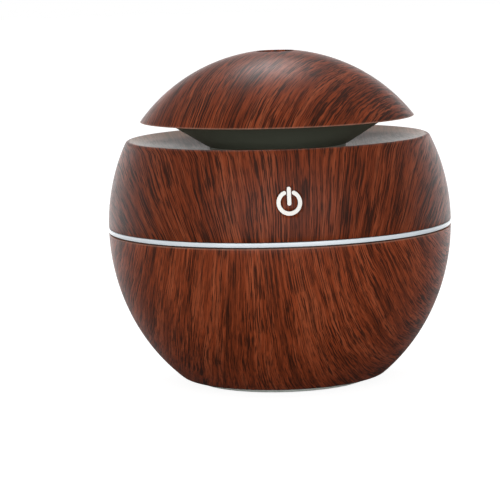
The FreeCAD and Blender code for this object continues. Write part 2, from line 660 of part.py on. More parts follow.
def make_jack_contacts():
    """The centre pin and the two solder tabs behind the socket."""
    pin_end = JACK_FACE_Y - JACK_PIN_SET_BACK
    pin = along_y(JACK_PIN_RADIUS, JACK_REAR_Y, pin_end, z=JACK_Z)
    pin = pin.makeFillet(0.3, [e for e in round_edges(pin) if e.Curve.Center.y > pin_end - 0.1])
    root = along_y(JACK_ROOT_RADIUS, JACK_REAR_Y - JACK_TAB, JACK_FACE_Y - JACK_BORE_DEPTH, z=JACK_Z)
    tabs = [block(-1.0, 1.0, JACK_REAR_Y - JACK_TAB, JACK_REAR_Y, z - 0.4, z + 0.4) for z in (JACK_Z, JACK_TAB_LOW_Z)]
    return [joined([pin, root, tabs[0]]), tabs[1]]


def make_jack_clamp():
    """The arch that holds the socket down in its cradle."""
    y_low, y_high = CLAMP_MIDDLE_Y - CLAMP_DEPTH / 2, CLAMP_MIDDLE_Y + CLAMP_DEPTH / 2
    top = JACK_HIGH_Z + CLAMP_TOP
    arch = block(-CRADLE_HALF_WIDTH, CRADLE_HALF_WIDTH, y_low, y_high, JACK_LOW_Z, top)
    half = JACK_WIDTH / 2 + 0.1
    arch = arch.cut(block(-half, half, y_low - 1, y_high + 1, JACK_LOW_Z - 1, JACK_HIGH_Z))
    for side in (-1, 1):
        arch = arch.cut(cylinder(SMALL_SCREW[0] + 0.2, 0, FAR, V(side * CLAMP_SCREW_X, CLAMP_MIDDLE_Y, 0)))
    return arch


def make_jack_clamp_screws():
    top = JACK_HIGH_Z + CLAMP_TOP
    length = top - JACK_LOW_Z + CRADLE_THICKNESS - 1.2
    return [screw(SMALL_SCREW, length, V(side * CLAMP_SCREW_X, CLAMP_MIDDLE_Y, top), -UP) for side in (-1, 1)]


# ---------------------------------------------------------------- base
POST_ANGLES = [360.0 * k / POST_COUNT for k in range(POST_COUNT)]
PAD_ANGLES = [45.0 + 90.0 * k for k in range(4)]
FAN_HOLES = [V(x * FAN_HOLE_SPACING / 2, y * FAN_HOLE_SPACING / 2, 0) for x in (-1, 1) for y in (-1, 1)]


def make_base_cover():
    cover = cylinder(COVER_RADIUS, COVER_BOTTOM_Z, COVER_TOP_Z)
    cover = cover.makeFillet(COVER_EDGE_FILLET, circle_edges(cover, COVER_RADIUS, COVER_BOTTOM_Z))
    cover = cover.cut(cylinder(COVER_RADIUS - COVER_RIM_WIDTH, COVER_FLOOR_Z, FAR))
    bosses = [cylinder(POST_RADIUS, COVER_BOTTOM_Z, POST_FOOT_Z, polar(POST_PLACE_RADIUS, a)) for a in POST_ANGLES]
    stands = [cylinder(POST_RADIUS * 0.75, COVER_FLOOR_Z - 0.5, FAN_FOOT_Z, place) for place in FAN_HOLES]
    cover = joined([cover] + bosses + stands)
    slot = block(GRILLE_INNER, GRILLE_OUTER, -GRILLE_SLOT_WIDTH / 2, GRILLE_SLOT_WIDTH / 2, -1, COVER_FLOOR_Z + 0.1)
    cover = cover.cut(joined(spread(slot, GRILLE_SLOTS, 180.0 / GRILLE_SLOTS)))
    shank, head, height = BASE_SCREW
    for angle in POST_ANGLES:
        place = polar(POST_PLACE_RADIUS, angle)
        cover = cover.cut(cylinder(head + 0.3, -1, BASE_SCREW_SEAT_Z, place))
        cover = cover.cut(cylinder(shank + 0.15, -1, FAR, place))
    for place in FAN_HOLES:
        cover = cover.cut(cylinder(SMALL_SCREW[0] + SCREW_CLEARANCE, COVER_FLOOR_Z - 0.4, FAR, place))
    for angle in PAD_ANGLES:
        cover = cover.cut(cylinder(PAD_RADIUS + 0.05, -1, PAD_THICKNESS, polar(PAD_PLACE_RADIUS, angle)))
    return cover


BASE_SCREW_SEAT_Z = COVER_BOTTOM_Z + 2.2


def make_pads():
    pads = []
    for angle in PAD_ANGLES:
        pad = cylinder(PAD_RADIUS, 0, PAD_THICKNESS, polar(PAD_PLACE_RADIUS, angle))
        pads.append(pad.makeFillet(0.2, circle_edges(pad, PAD_RADIUS, 0)))
    return pads


def make_base_screws():
    return [screw(BASE_SCREW, BASE_SCREW_LENGTH, polar(POST_PLACE_RADIUS, a, BASE_SCREW_SEAT_Z), UP)
            for a in POST_ANGLES]


# ---------------------------------------------------------------- tank and transducer
DUCT_PLACE = polar(DUCT_PLACE_RADIUS, DUCT_ANGLE)
RETAINER_SCREW_PLACE = (SEAL_RADIUS + TRANSDUCER_BOSS_RADIUS) / 2 - 0.3
BOARD_HOLES = [V(x * BOARD_HOLE_PLACE, y * BOARD_HOLE_PLACE, 0) for x in (-1, 1) for y in (-1, 1)]
TOUCH_BOARD_REAR_Y = -tank_radius_at(ICON_Z) - TOUCH_BOARD_STAND_OFF
TOUCH_BOARD_FACE_Y = TOUCH_BOARD_REAR_Y - TOUCH_BOARD_THICKNESS


def make_tank():
    bottom, top = tank_radius_at(TANK_UNDER_Z), TANK_TOP_RADIUS
    inner_bottom = tank_radius_at(TANK_FLOOR_Z) - TANK_WALL
    outer = lathe_points([(0, TANK_UNDER_Z), (bottom, TANK_UNDER_Z), (top, TANK_TOP_Z), (0, TANK_TOP_Z)])
    outer = outer.makeFillet(3.0, circle_edges(outer, bottom, TANK_UNDER_Z))
    inner = lathe_points([(0, TANK_FLOOR_Z), (inner_bottom, TANK_FLOOR_Z), (top - TANK_WALL, TANK_TOP_Z), (0, TANK_TOP_Z)])
    inner = inner.makeFillet(2.0, circle_edges(inner, inner_bottom, TANK_FLOOR_Z))
    flange_low = TANK_TOP_Z - TANK_FLANGE
    flange = cylinder(top + TANK_FLANGE_WIDTH / 2, flange_low, TANK_TOP_Z)
    ears = spread(cylinder(TANK_SCREW_EAR, flange_low, TANK_TOP_Z, V(TANK_SCREW_PLACE, 0, 0)), TANK_SCREW_COUNT, 45.0)
    land = cylinder(GASKET_INNER + GASKET_WIDTH + GASKET_EDGE, flange_low, TANK_TOP_Z)
    transducer_boss = cylinder(TRANSDUCER_BOSS_RADIUS, SEAL_BOTTOM_Z, TANK_UNDER_Z + 0.5)
    touch_bosses = [along_y(1.8, TOUCH_BOARD_REAR_Y, TOUCH_BOARD_REAR_Y + 5, side * TOUCH_SCREW_PLACE, ICON_Z)
                    for side in (-1, 1)]
    body = joined([outer, flange, land, transducer_boss] + ears + touch_bosses).cut(inner)
    body = body.cut(cylinder(DUCT_RADIUS + DUCT_WALL + DUCT_CLEARANCE, -FAR, FAR, DUCT_PLACE))
    groove = ring(GASKET_INNER + GASKET_WIDTH, GASKET_INNER, TANK_TOP_Z - GASKET_THICKNESS, TANK_TOP_Z + 1)
    body = body.cut(groove)
    body = body.cut(cylinder(WINDOW_RADIUS, 0, FAR))
    body = body.cut(cylinder(SEAL_RADIUS + 0.1, 0, SEAL_BOTTOM_Z + SEAL_HEIGHT))
    pilot = SMALL_SCREW[0] + SCREW_CLEARANCE
    holes = spread(cylinder(pilot + 0.15, flange_low - 1, FAR, V(TANK_SCREW_PLACE, 0, 0)), TANK_SCREW_COUNT, 45.0)
    holes += spread(cylinder(pilot, 0, SEAL_BOTTOM_Z + 3.2, V(RETAINER_SCREW_PLACE, 0, 0)), RETAINER_SCREWS, 30.0)
    holes += [along_y(pilot, TOUCH_BOARD_REAR_Y - 1, TOUCH_BOARD_REAR_Y + 2.6, side * TOUCH_SCREW_PLACE, ICON_Z)
              for side in (-1, 1)]
    for hole in holes:
        body = body.cut(hole)
    return body


def make_air_duct():
    """A pipe welded into the tank's floor, which carries the fan's air up past the water."""
    return ring(DUCT_RADIUS + DUCT_WALL, DUCT_RADIUS, TANK_UNDER_Z, DUCT_TOP_Z, DUCT_PLACE)


def make_post_frame():
    """A plate welded under the tank, with the posts for the base screws and the bosses for the main board."""
    top, low = TANK_UNDER_Z, TANK_UNDER_Z - POST_PLATE
    plate = ring(POST_PLACE_RADIUS + POST_RADIUS + POST_PLATE_EDGE, TRANSDUCER_BOSS_RADIUS + 0.2, low, top)
    posts = [cylinder(POST_RADIUS, POST_FOOT_Z, top, polar(POST_PLACE_RADIUS, a)) for a in POST_ANGLES]
    bosses = [cylinder(BOARD_BOSS_RADIUS, BOARD_TOP_Z, top, place) for place in BOARD_HOLES]
    frame = joined([plate] + posts + bosses)
    holes = [cylinder(BASE_SCREW[0] + SCREW_CLEARANCE, 0, BASE_SCREW_SEAT_Z + BASE_SCREW_LENGTH + 0.5,
                      polar(POST_PLACE_RADIUS, a)) for a in POST_ANGLES]
    holes += [cylinder(SMALL_SCREW[0] + SCREW_CLEARANCE, 0, BOARD_TOP_Z + 5.0, place) for place in BOARD_HOLES]
    holes.append(cylinder(DUCT_RADIUS, -FAR, FAR, DUCT_PLACE))
    for hole in holes:
        frame = frame.cut(hole)
    return frame


def make_gasket():
    outer, inner = GASKET_INNER + GASKET_WIDTH - GASKET_CLEARANCE, GASKET_INNER + GASKET_CLEARANCE
    return ring(outer, inner, TANK_TOP_Z - GASKET_THICKNESS, TANK_TOP_Z)


def make_tank_screws():
    low = TANK_TOP_Z - TANK_FLANGE
    one = screw(SMALL_SCREW, TANK_FLANGE + TANK_PILOT_DEPTH - 0.5, V(TANK_SCREW_PLACE, 0, low), UP)
    return spread(one, TANK_SCREW_COUNT, 45.0)


def make_duct_hood():
    """A cap on three legs that keeps drops out of the air duct."""
    low = DUCT_TOP_Z + HOOD_RISE
    cap = cylinder(HOOD_RADIUS, low, low + HOOD_THICKNESS, DUCT_PLACE)
    cap = cap.makeFillet(0.5, circle_edges(cap, HOOD_RADIUS, low + HOOD_THICKNESS))
    legs = []
    for k in range(3):
        place = DUCT_PLACE + polar(DUCT_RADIUS - HOOD_LEG_RADIUS - 0.1, 120.0 * k)
        legs.append(cylinder(HOOD_LEG_RADIUS, DUCT_TOP_Z - 4.0, low + 0.2, place))
    return joined([cap] + legs)


def make_transducer_seal():
    top = SEAL_BOTTOM_Z + SEAL_HEIGHT
    groove_low = SEAL_BOTTOM_Z + (SEAL_HEIGHT - PIEZO_THICKNESS) / 2
    seal = ring(SEAL_RADIUS, PIEZO_RADIUS - SEAL_LIP, SEAL_BOTTOM_Z, top)
    return seal.cut(cylinder(PIEZO_RADIUS + 0.05, groove_low, groove_low + PIEZO_THICKNESS))


def make_piezo():
    low = SEAL_BOTTOM_Z + (SEAL_HEIGHT - PIEZO_THICKNESS) / 2
    return cylinder(PIEZO_RADIUS, low, low + PIEZO_THICKNESS)


RETAINER_LOW_Z = SEAL_BOTTOM_Z - RETAINER_THICKNESS


def make_retainer():
    plate = ring(RETAINER_RADIUS, RETAINER_HOLE, RETAINER_LOW_Z, SEAL_BOTTOM_Z)
    hole = cylinder(SMALL_SCREW[0] + 0.2, 0, FAR, V(RETAINER_SCREW_PLACE, 0, 0))
    return plate.cut(joined(spread(hole, RETAINER_SCREWS, 30.0)))


def make_retainer_screws():
    one = screw(SMALL_SCREW, RETAINER_THICKNESS + 2.8, V(RETAINER_SCREW_PLACE, 0, RETAINER_LOW_Z), UP)
    return spread(one, RETAINER_SCREWS, 30.0)


# ---------------------------------------------------------------- boards
def make_main_board():
    half = BOARD_SIDE / 2
    board = block(-half, half, -half, half, BOARD_Z, BOARD_TOP_Z)
    board = board.makeFillet(1.5, edges_along(board, UP))
    for place in BOARD_HOLES:
        board = board.cut(cylinder(SMALL_SCREW[0] + 0.2, 0, FAR, place))
    return board


def make_board_screws():
    return [screw(SMALL_SCREW, BOARD_THICKNESS + 4.4, V(p.x, p.y, BOARD_Z), UP) for p in BOARD_HOLES]


def on_board(x, y, length, width, height):
    return block(x - length / 2, x + length / 2, y - width / 2, y + width / 2, BOARD_TOP_Z, BOARD_TOP_Z + height)


def make_inductor():
    body = on_board(-6.0, -4.0, 7.0, 7.0, 3.2)
    return body.makeFillet(1.2, edges_along(body, UP))


def make_capacitors():
    cans = []
    for x, y in ((3.0, -8.5), (9.5, -8.5)):
        can = cylinder(2.5, BOARD_TOP_Z + 0.4, BOARD_TOP_Z + 3.4, V(x, y, 0))
        cans.append(joined([can, on_board(x, y, 5.2, 5.2, 0.5)]))
    return cans


def make_chips():
    return [on_board(3.5, 0.0, 5.0, 4.0, 1.5), on_board(-6.5, 4.5, 6.5, 6.0, 2.2), on_board(10.0, 0.5, 3.0, 1.6, 1.1)]


PLUGS = {"socket": (-7.0, 14.4), "light": (7.0, 14.4), "fan": (-7.0, -14.4), "touch": (7.0, -14.4), "disc": (5.0, 6.8)}
PLUG_SIZE = (5.0, 4.0, 3.4)


def make_connectors():
    """Board sockets with the wires' plugs in them."""
    return [on_board(x, y, *PLUG_SIZE) for x, y in PLUGS.values()]


def make_light_board():
    outer = body_radius_at(LIGHT_BOARD_Z, WALL) - 1.0
    return ring(outer, outer - LIGHT_BOARD_WIDTH, LIGHT_BOARD_Z, LIGHT_BOARD_Z + LIGHT_BOARD_THICKNESS)


def make_leds():
    middle = body_radius_at(LIGHT_BOARD_Z, WALL) - 1.0 - LIGHT_BOARD_WIDTH / 2
    low = LIGHT_BOARD_Z + LIGHT_BOARD_THICKNESS
    led = block(middle - LED_WIDTH / 2, middle + LED_WIDTH / 2, -LED_LENGTH / 2, LED_LENGTH / 2,
                low, low + LED_HEIGHT)
    return spread(led, LED_COUNT, 22.5)


def make_touch_board():
    half = TOUCH_BOARD_WIDTH / 2
    board = block(-half, half, TOUCH_BOARD_FACE_Y, TOUCH_BOARD_REAR_Y,
                  ICON_Z - TOUCH_BOARD_HEIGHT / 2, ICON_Z + TOUCH_BOARD_HEIGHT / 2)
    for side in (-1, 1):
        board = board.cut(along_y(SMALL_SCREW[0] + 0.2, -FAR, 0, side * TOUCH_SCREW_PLACE, ICON_Z))
    return board


def make_touch_screws():
    return [screw(SMALL_SCREW, TOUCH_BOARD_THICKNESS + 2.2, V(side * TOUCH_SCREW_PLACE, TOUCH_BOARD_FACE_Y, ICON_Z),
                  AXIS_Y) for side in (-1, 1)]


def make_touch_foam():
    """A conductive foam pad between the touch board and the back of the icon's wall."""
    front = -body_radius_at(ICON_Z + FOAM_RADIUS, WALL) + FOAM_CLEARANCE
    return along_y(FOAM_RADIUS, front, TOUCH_BOARD_FACE_Y, 0, ICON_Z)


# ---------------------------------------------------------------- fan
def make_fan_frame():
    """Square frame with the motor plate on struts at its outlet side."""
    half = FAN_SIDE / 2
    frame = block(-half, half, -half, half, FAN_FOOT_Z, FAN_TOP_Z)
    frame = frame.makeFillet(2.5, edges_along(frame, UP))
    frame = frame.cut(cylinder(FAN_BORE, 0, FAR))
    plate_low = FAN_TOP_Z - FAN_PLATE
    plate = cylinder(FAN_PLATE_RADIUS, plate_low, FAN_TOP_Z)
    strut = block(FAN_PLATE_RADIUS - 1, FAN_BORE + 0.4, -FAN_STRUT_WIDTH / 2, FAN_STRUT_WIDTH / 2,
                  plate_low, FAN_TOP_Z)
    tube = cylinder(BEARING_TUBE_RADIUS, BEARING_LOW_Z, plate_low + 0.1)
    frame = joined([frame, plate, tube] + spread(strut, FAN_STRUTS, 20.0))
    frame = frame.cut(cylinder(BEARING_RADIUS + 0.02, 0, plate_low))
    for place in FAN_HOLES:
        frame = frame.cut(cylinder(SMALL_SCREW[0] + 0.2, 0, FAR, place))
    return frame


BEARING_LOW_Z = HUB_FOOT_Z + HUB_FLOOR + 0.6


def make_fan_bearing():
    return ring(BEARING_RADIUS, SHAFT_RADIUS + SHAFT_CLEARANCE, BEARING_LOW_Z, FAN_TOP_Z - FAN_PLATE)


def make_fan_stator():
    """Laminated core and windings round the bearing tube."""
    magnet_bore = HUB_RADIUS - HUB_WALL - MAGNET_WALL
    tip = magnet_bore - AIR_GAP
    low, high = BEARING_LOW_Z + 0.4, FAN_TOP_Z - FAN_PLATE
    hub = cylinder(BEARING_TUBE_RADIUS + 1.0, low, high)
    pole = block(0, tip, -0.7, 0.7, low + 1.0, low + 2.6)
    shoe = ring(tip, tip - 0.8, low + 0.8, low + 2.8).common(block(0, tip + 1, -2.2, 2.2, 0, FAR))
    winding = block(BEARING_TUBE_RADIUS + 0.8, tip - 1.0, -1.4, 1.4, low + 0.5, low + 3.1)
    core = joined([hub] + spread(pole, 4) + spread(shoe, 4) + spread(winding, 4))
    return core.cut(cylinder(BEARING_TUBE_RADIUS + 0.02, 0, FAR))


def make_fan_rotor():
    """Hub cup, open towards the motor plate, with its pitched blades."""
    hub = cylinder(HUB_RADIUS, HUB_FOOT_Z, HUB_TOP_Z)
    hub = hub.makeFillet(0.8, circle_edges(hub, HUB_RADIUS, HUB_FOOT_Z))
    hub = hub.cut(cylinder(HUB_RADIUS - HUB_WALL, HUB_FOOT_Z + HUB_FLOOR, HUB_TOP_Z + 1))
    hub = hub.cut(cylinder(SHAFT_RADIUS + 0.02, 0, FAR))
    tip = FAN_BORE - TIP_CLEARANCE
    span = HUB_TOP_Z - HUB_FOOT_Z - 0.6
    sections = []
    for radius, lean in ((HUB_RADIUS - 0.4, 2.2), (tip, 4.2)):
        low, high = HUB_FOOT_Z + 0.4, HUB_FOOT_Z + 0.4 + span
        t = BLADE_THICKNESS / 2
        corners = [V(radius, -lean - t, low), V(radius, -lean + t, low),
                   V(radius, lean + t, high), V(radius, lean - t, high)]
        sections.append(Part.makePolygon(corners + corners[:1]))
    blade = Part.makeLoft(sections, True, True)
    blades = [b.common(cylinder(tip, 0, FAR)) for b in spread(blade, BLADE_COUNT)]
    return hub.multiFuse(blades)


def make_fan_magnet():
    outer = HUB_RADIUS - HUB_WALL - 0.02
    return ring(outer, outer - MAGNET_WALL + 0.02, HUB_FOOT_Z + HUB_FLOOR, HUB_TOP_Z - 0.3)


def make_fan_shaft():
    return cylinder(SHAFT_RADIUS, HUB_FOOT_Z + 0.1, FAN_TOP_Z - FAN_PLATE - 0.3)


def make_fan_screws():
    length = FAN_TOP_Z - COVER_FLOOR_Z + 0.2
    return [screw(SMALL_SCREW, length, V(p.x, p.y, FAN_TOP_Z), -UP) for p in FAN_HOLES]


# ---------------------------------------------------------------- wires
def plug_top(name, across=0.0):
    x, y = PLUGS[name]
    return V(x + across, y, BOARD_TOP_Z + PLUG_SIZE[2])


def make_jack_leads():
    """Two wires from the socket's tabs, past the rear post, to the main board."""
    tab_y = JACK_REAR_Y - JACK_TAB / 2
    leads = []
    for z, aside, across in ((JACK_Z, -6.4, -0.8), (JACK_TAB_LOW_Z, -4.6, 0.8)):
        end = plug_top("socket", across)
        over = end.z + LEAD_RISE
        leads.append(lead([V(-1.0, tab_y, z), V(aside, tab_y, z), V(aside, end.y + 6.0, over),
                           V(end.x, end.y, over), end]))
    return leads


def make_disc_leads():
    """Two wires from the transducer, down through the hole of its retainer."""
    start_z = SEAL_BOTTOM_Z + (SEAL_HEIGHT - PIEZO_THICKNESS) / 2
    leads = []
    for across in (-0.8, 0.8):
        end = plug_top("disc", across)
        start = V(1.5 + across, 1.0, start_z)
        over = end.z + 1.4
        leads.append(lead([start, V(start.x, start.y, over), V(end.x, end.y, over), end], bend=1.0))
    return leads


def make_fan_leads():
    """Two wires from the side of the fan, up past the board's edge."""
    leads = []
    for across in (-0.8, 0.8):
        end = plug_top("fan", across)
        outside, over = -BOARD_SIDE / 2 - 1.8, end.z + LEAD_RISE
        leads.append(lead([V(end.x, -FAN_SIDE / 2, FAN_TOP_Z - 2.0), V(end.x, outside, FAN_TOP_Z - 2.0),
                           V(end.x, outside, over), V(end.x, end.y, over), end], bend=1.2))
    return leads


def make_light_leads():
    """Three wires from the light board, down outside the tank and under it."""
    leads = []
    board_inner = body_radius_at(LIGHT_BOARD_Z, WALL) - 1.0 - LIGHT_BOARD_WIDTH
    for across in (-1.3, 0.0, 1.3):
        end = plug_top("light", across)
        side, over = 10.0 + across, end.z + LEAD_RISE
        leads.append(lead([V(side, board_inner + 2.0, LIGHT_BOARD_Z), V(side, board_inner + 2.0, 33.0),
                           V(side, TANK_BOTTOM_CLEAR, TANK_UNDER_Z - 1.6), V(end.x, end.y + 6.0, over),
                           V(end.x, end.y, over), end]))
    return leads


def make_touch_lead():
    """One wire from the touch board, down outside the tank and under it."""
    end = plug_top("touch")
    over = end.z + LEAD_RISE
    start = V(4.0, (TOUCH_BOARD_FACE_Y + TOUCH_BOARD_REAR_Y) / 2, ICON_Z - TOUCH_BOARD_HEIGHT / 2)
    return lead([start, V(4.2, start.y, start.z - 2.4), V(5.0, 1.8 - LIGHT_BOARD_INNER, RING_Z),
                 V(5.8, -tank_radius_at(34.0) - 1.8, 34.0), V(6.6, 2.0 - TANK_BOTTOM_CLEAR, TANK_UNDER_Z - 2.2),
                 V(end.x, end.y - 6.0, over), V(end.x, end.y, over), end])


LEAD_RISE = 2.0
LIGHT_BOARD_INNER = body_radius_at(LIGHT_BOARD_Z, WALL) - 1.0 - LIGHT_BOARD_WIDTH
TANK_BOTTOM_CLEAR = tank_radius_at(TANK_UNDER_Z) + 1.0

PARTS = {
    "dome_cover": make_dome,
    "lid_funnel": make_funnel,
    "splash_baffle": make_baffle,
    "upper_shell": make_upper_shell,
    "mouth_ring": make_mouth_ring,
    "power_icon": make_icon,
    "light_ring": make_light_ring,
    "lower_shell": make_lower_shell,
    "base_cover": make_base_cover,
    "foot_pads": make_pads,
    "base_screws": make_base_screws,
    "power_socket": make_jack,
    "socket_contacts": make_jack_contacts,
    "socket_clamp": make_jack_clamp,
    "socket_clamp_screws": make_jack_clamp_screws,
    "water_tank": make_tank,
    "air_duct": make_air_duct,
    "post_frame": make_post_frame,
    "tank_gasket": make_gasket,
    "tank_screws": make_tank_screws,
    "duct_hood": make_duct_hood,
    "transducer_seal": make_transducer_seal,
    "transducer_disc": make_piezo,
    "transducer_retainer": make_retainer,
    "retainer_screws": make_retainer_screws,
    "main_board": make_main_board,
    "board_screws": make_board_screws,
    "inductor": make_inductor,
    "capacitors": make_capacitors,
    "chips": make_chips,
    "connectors": make_connectors,
    "light_board": make_light_board,
    "leds": make_leds,
    "touch_board": make_touch_board,
    "touch_board_screws": make_touch_screws,
    "touch_foam": make_touch_foam,
    "fan_frame": make_fan_frame,
    "fan_bearing": make_fan_bearing,
    "fan_stator": make_fan_stator,
    "fan_screws": make_fan_screws,
    "fan_rotor": make_fan_rotor,
    "fan_magnet": make_fan_magnet,
    "fan_shaft": make_fan_shaft,
    "socket_leads": make_jack_leads,
    "transducer_leads": make_disc_leads,
    "fan_leads": make_fan_leads,
    "light_leads": make_light_leads,
    "touch_lead": make_touch_lead,
}

for part_name, make in PARTS.items():
    save(part_name, make())
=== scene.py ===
import math

import bpy
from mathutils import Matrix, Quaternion, Vector


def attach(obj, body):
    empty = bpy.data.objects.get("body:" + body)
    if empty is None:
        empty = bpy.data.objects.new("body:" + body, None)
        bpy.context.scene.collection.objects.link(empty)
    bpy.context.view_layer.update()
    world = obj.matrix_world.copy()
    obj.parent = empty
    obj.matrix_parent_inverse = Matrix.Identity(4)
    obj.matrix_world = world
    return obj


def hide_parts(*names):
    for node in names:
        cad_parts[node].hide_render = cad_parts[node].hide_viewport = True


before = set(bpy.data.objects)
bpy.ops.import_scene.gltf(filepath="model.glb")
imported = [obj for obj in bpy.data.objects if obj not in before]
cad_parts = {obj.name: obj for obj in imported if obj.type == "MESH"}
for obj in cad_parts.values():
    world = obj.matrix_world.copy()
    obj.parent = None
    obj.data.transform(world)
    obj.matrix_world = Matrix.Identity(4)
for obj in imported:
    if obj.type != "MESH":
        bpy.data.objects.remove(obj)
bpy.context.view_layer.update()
bpy.ops.object.select_all(action="DESELECT")


# ------------------------------------------------------------------ dome of the lid
# A thin cap cut from a 100 mm ball, injection moulded and covered with a wood-grain water-transfer film
# under satin lacquer. The mist leaves by the round hole at its top, and its lower rim is sharp.
MM = 0.001  # outlines are written in millimetres, and Blender's meshes are in metres
AROUND = 224  # corners in every turned circle
SAME_CORNER = 0.000002  # metres between corners that count as one
SHARP_FROM = 28  # degrees between faces, from which their edge isn't shaded smooth

DOME_RADIUS = 50.0
DOME_CENTRE_Z = 47.0
DOME_WALL = 2.4
DOME_RIM_RADIUS = 39.9
DOME_RIM_Z = 77.2
OUTLET_RADIUS = 5.5
OUTLET_EDGE = 0.4
SEAT_RADIUS = 36.99
SEAT_INNER_RADIUS = 35.6
SEAT_Z = 78.6
SEAT_EDGE = 0.2


def turned(name, outline):
    """A closed outline of (radius, height) in millimetres, carried round the upright axis ring by ring."""
    bpy.ops.object.select_all(action="DESELECT")
    radius, height = outline[0]
    bpy.ops.mesh.primitive_circle_add(vertices=AROUND, radius=radius * MM, location=(0, 0, 0))
    piece = bpy.context.object
    piece.name = piece.data.name = name
    bpy.ops.object.mode_set(mode="EDIT")
    bpy.ops.mesh.select_all(action="SELECT")
    bpy.ops.transform.translate(value=(0, 0, height * MM))
    for (r_from, z_from), (r_to, z_to) in zip(outline, outline[1:] + outline[:1]):
        bpy.ops.mesh.extrude_region_move(TRANSFORM_OT_translate={"value": (0, 0, (z_to - z_from) * MM)})
        bpy.ops.transform.resize(value=(r_to / r_from, r_to / r_from, 1), center_override=(0, 0, 0))
    bpy.ops.mesh.select_all(action="SELECT")
    bpy.ops.mesh.remove_doubles(threshold=SAME_CORNER)
    bpy.ops.mesh.normals_make_consistent(inside=False)
    bpy.ops.object.mode_set(mode="OBJECT")
    return piece


def rounded(piece, radius, height, size, steps=4):
    """Rounds the circular edge at that radius and height, in millimetres."""
    near = 0.03 * MM
    bpy.ops.object.select_all(action="DESELECT")
    bpy.context.view_layer.objects.active = piece
    piece.select_set(True)
    bpy.ops.object.mode_set(mode="EDIT")
    bpy.ops.mesh.select_mode(type="EDGE")
    bpy.ops.mesh.select_all(action="DESELECT")
    bpy.ops.object.mode_set(mode="OBJECT")
    corners = piece.data.vertices
    for edge in piece.data.edges:
        ends = [corners[index].co for index in edge.vertices]
        edge.select = all(
            abs(end.xy.length - radius * MM) < near and abs(end.z - height * MM) < near for end in ends
        )
    bpy.ops.object.mode_set(mode="EDIT")
    bpy.ops.mesh.bevel(offset=size * MM, segments=steps, affect="EDGES", clamp_overlap=True)
    bpy.ops.object.mode_set(mode="OBJECT")


def finished(piece, body, material, *nodes):
    """Smooths a piece, gives it its material, and lets it ride on its body in place of the CAD nodes."""
    bpy.ops.object.select_all(action="DESELECT")
    bpy.context.view_layer.objects.active = piece
    piece.select_set(True)
    bpy.ops.object.shade_smooth_by_angle(angle=math.radians(SHARP_FROM))
    piece.data.materials.clear()
    piece.data.materials.append(material)
    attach(piece, body)
    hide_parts(*nodes)


def tone(red, green, blue):
    """A colour as written on a screen, as linear light."""
    written = [step / 255 for step in (red, green, blue)]
    return (*(c / 12.92 if c < 0.0404 else ((c + 0.055) / 1.055) ** 2.4 for c in written), 1)


def node(tree, kind, settings=None, **looks):
    """A shader node with its sockets set or linked, and its own looks, such as its operation."""
    made = tree.nodes.new("ShaderNode" + kind)
    for name, value in looks.items():
        setattr(made, name, value)
    for socket, value in (settings or {}).items():
        if isinstance(value, bpy.types.NodeSocket):
            tree.links.new(value, made.inputs[socket])
        else:
            made.inputs[socket].default_value = value
    return made


def effect(name, takes, gives):
    """An empty shader group with named inputs and outputs, and its own input and output nodes."""
    tree = bpy.data.node_groups.new(name, "ShaderNodeTree")
    for label, kind in takes:
        tree.interface.new_socket(label, in_out="INPUT", socket_type="NodeSocket" + kind)
    for label, kind in gives:
        tree.interface.new_socket(label, in_out="OUTPUT", socket_type="NodeSocket" + kind)
    return tree, tree.nodes.new("NodeGroupInput").outputs, tree.nodes.new("NodeGroupOutput").inputs


def use(tree, group, settings):
    """That effect placed in a material, with its own values."""
    return node(tree, "Group", settings, node_tree=group).outputs


def calc(tree, operation, *terms):
    """One step of arithmetic."""
    return node(tree, "Math", dict(enumerate(terms)), operation=operation).outputs[0]


def mixed(tree, factor, first, second):
    """The first colour turned towards the second by a factor from 0 to 1."""
    made = node(tree, "Mix", {"Factor": factor}, data_type="RGBA")
    for socket, value in zip((s for s in made.inputs if s.type == "RGBA"), (first, second)):
        if isinstance(value, bpy.types.NodeSocket):
            tree.links.new(value, socket)
        else:
            socket.default_value = value
    return next(s for s in made.outputs if s.type == "RGBA")


def from_axis(tree, place):
    """How far a place is from the upright axis, in metres."""
    flat = node(tree, "VectorMath", {0: place, 1: (1, 1, 0)}, operation="MULTIPLY").outputs[0]
    return node(tree, "VectorMath", {0: flat}, operation="LENGTH").outputs["Value"]


# The film is drawn over each moulding from one side, so its grain runs straight over a top and fans out
# down the walls. This gives the place on the flat film for each place on the surface.
film_wrap, film_in, film_out = effect(
    "film_wrap",
    [("Place", "Vector"), ("Shoulder radius", "Float"), ("Shoulder height", "Float"), ("Draw", "Float"),
     ("Turn", "Float"), ("Shift", "Vector")],
    [("Film", "Vector")],
)
NEAREST_AXIS = 0.002  # metres; nearer the axis the print isn't stretched any further
place_xyz = node(film_wrap, "SeparateXYZ", {"Vector": film_in["Place"]}).outputs
flat = node(film_wrap, "CombineXYZ", {"X": place_xyz["X"], "Y": place_xyz["Y"]}).outputs[0]
axis_gap = from_axis(film_wrap, film_in["Place"])
fall = calc(film_wrap, "SUBTRACT", film_in["Shoulder height"], place_xyz["Z"])
down = calc(film_wrap, "MULTIPLY", film_in["Draw"], fall)
reach = calc(film_wrap, "ADD", calc(film_wrap, "MINIMUM", axis_gap, film_in["Shoulder radius"]), down)
stretch = calc(film_wrap, "DIVIDE", reach, calc(film_wrap, "MAXIMUM", axis_gap, NEAREST_AXIS))
laid = node(film_wrap, "VectorMath", {0: flat, "Scale": stretch}, operation="SCALE").outputs[0]
spun = node(film_wrap, "VectorRotate", {"Vector": laid, "Angle": film_in["Turn"]},
            rotation_type="Z_AXIS").outputs[0]
moved = node(film_wrap, "VectorMath", {0: spun, 1: film_in["Shift"]}, operation="ADD").outputs[0]
film_wrap.links.new(moved, film_out["Film"])

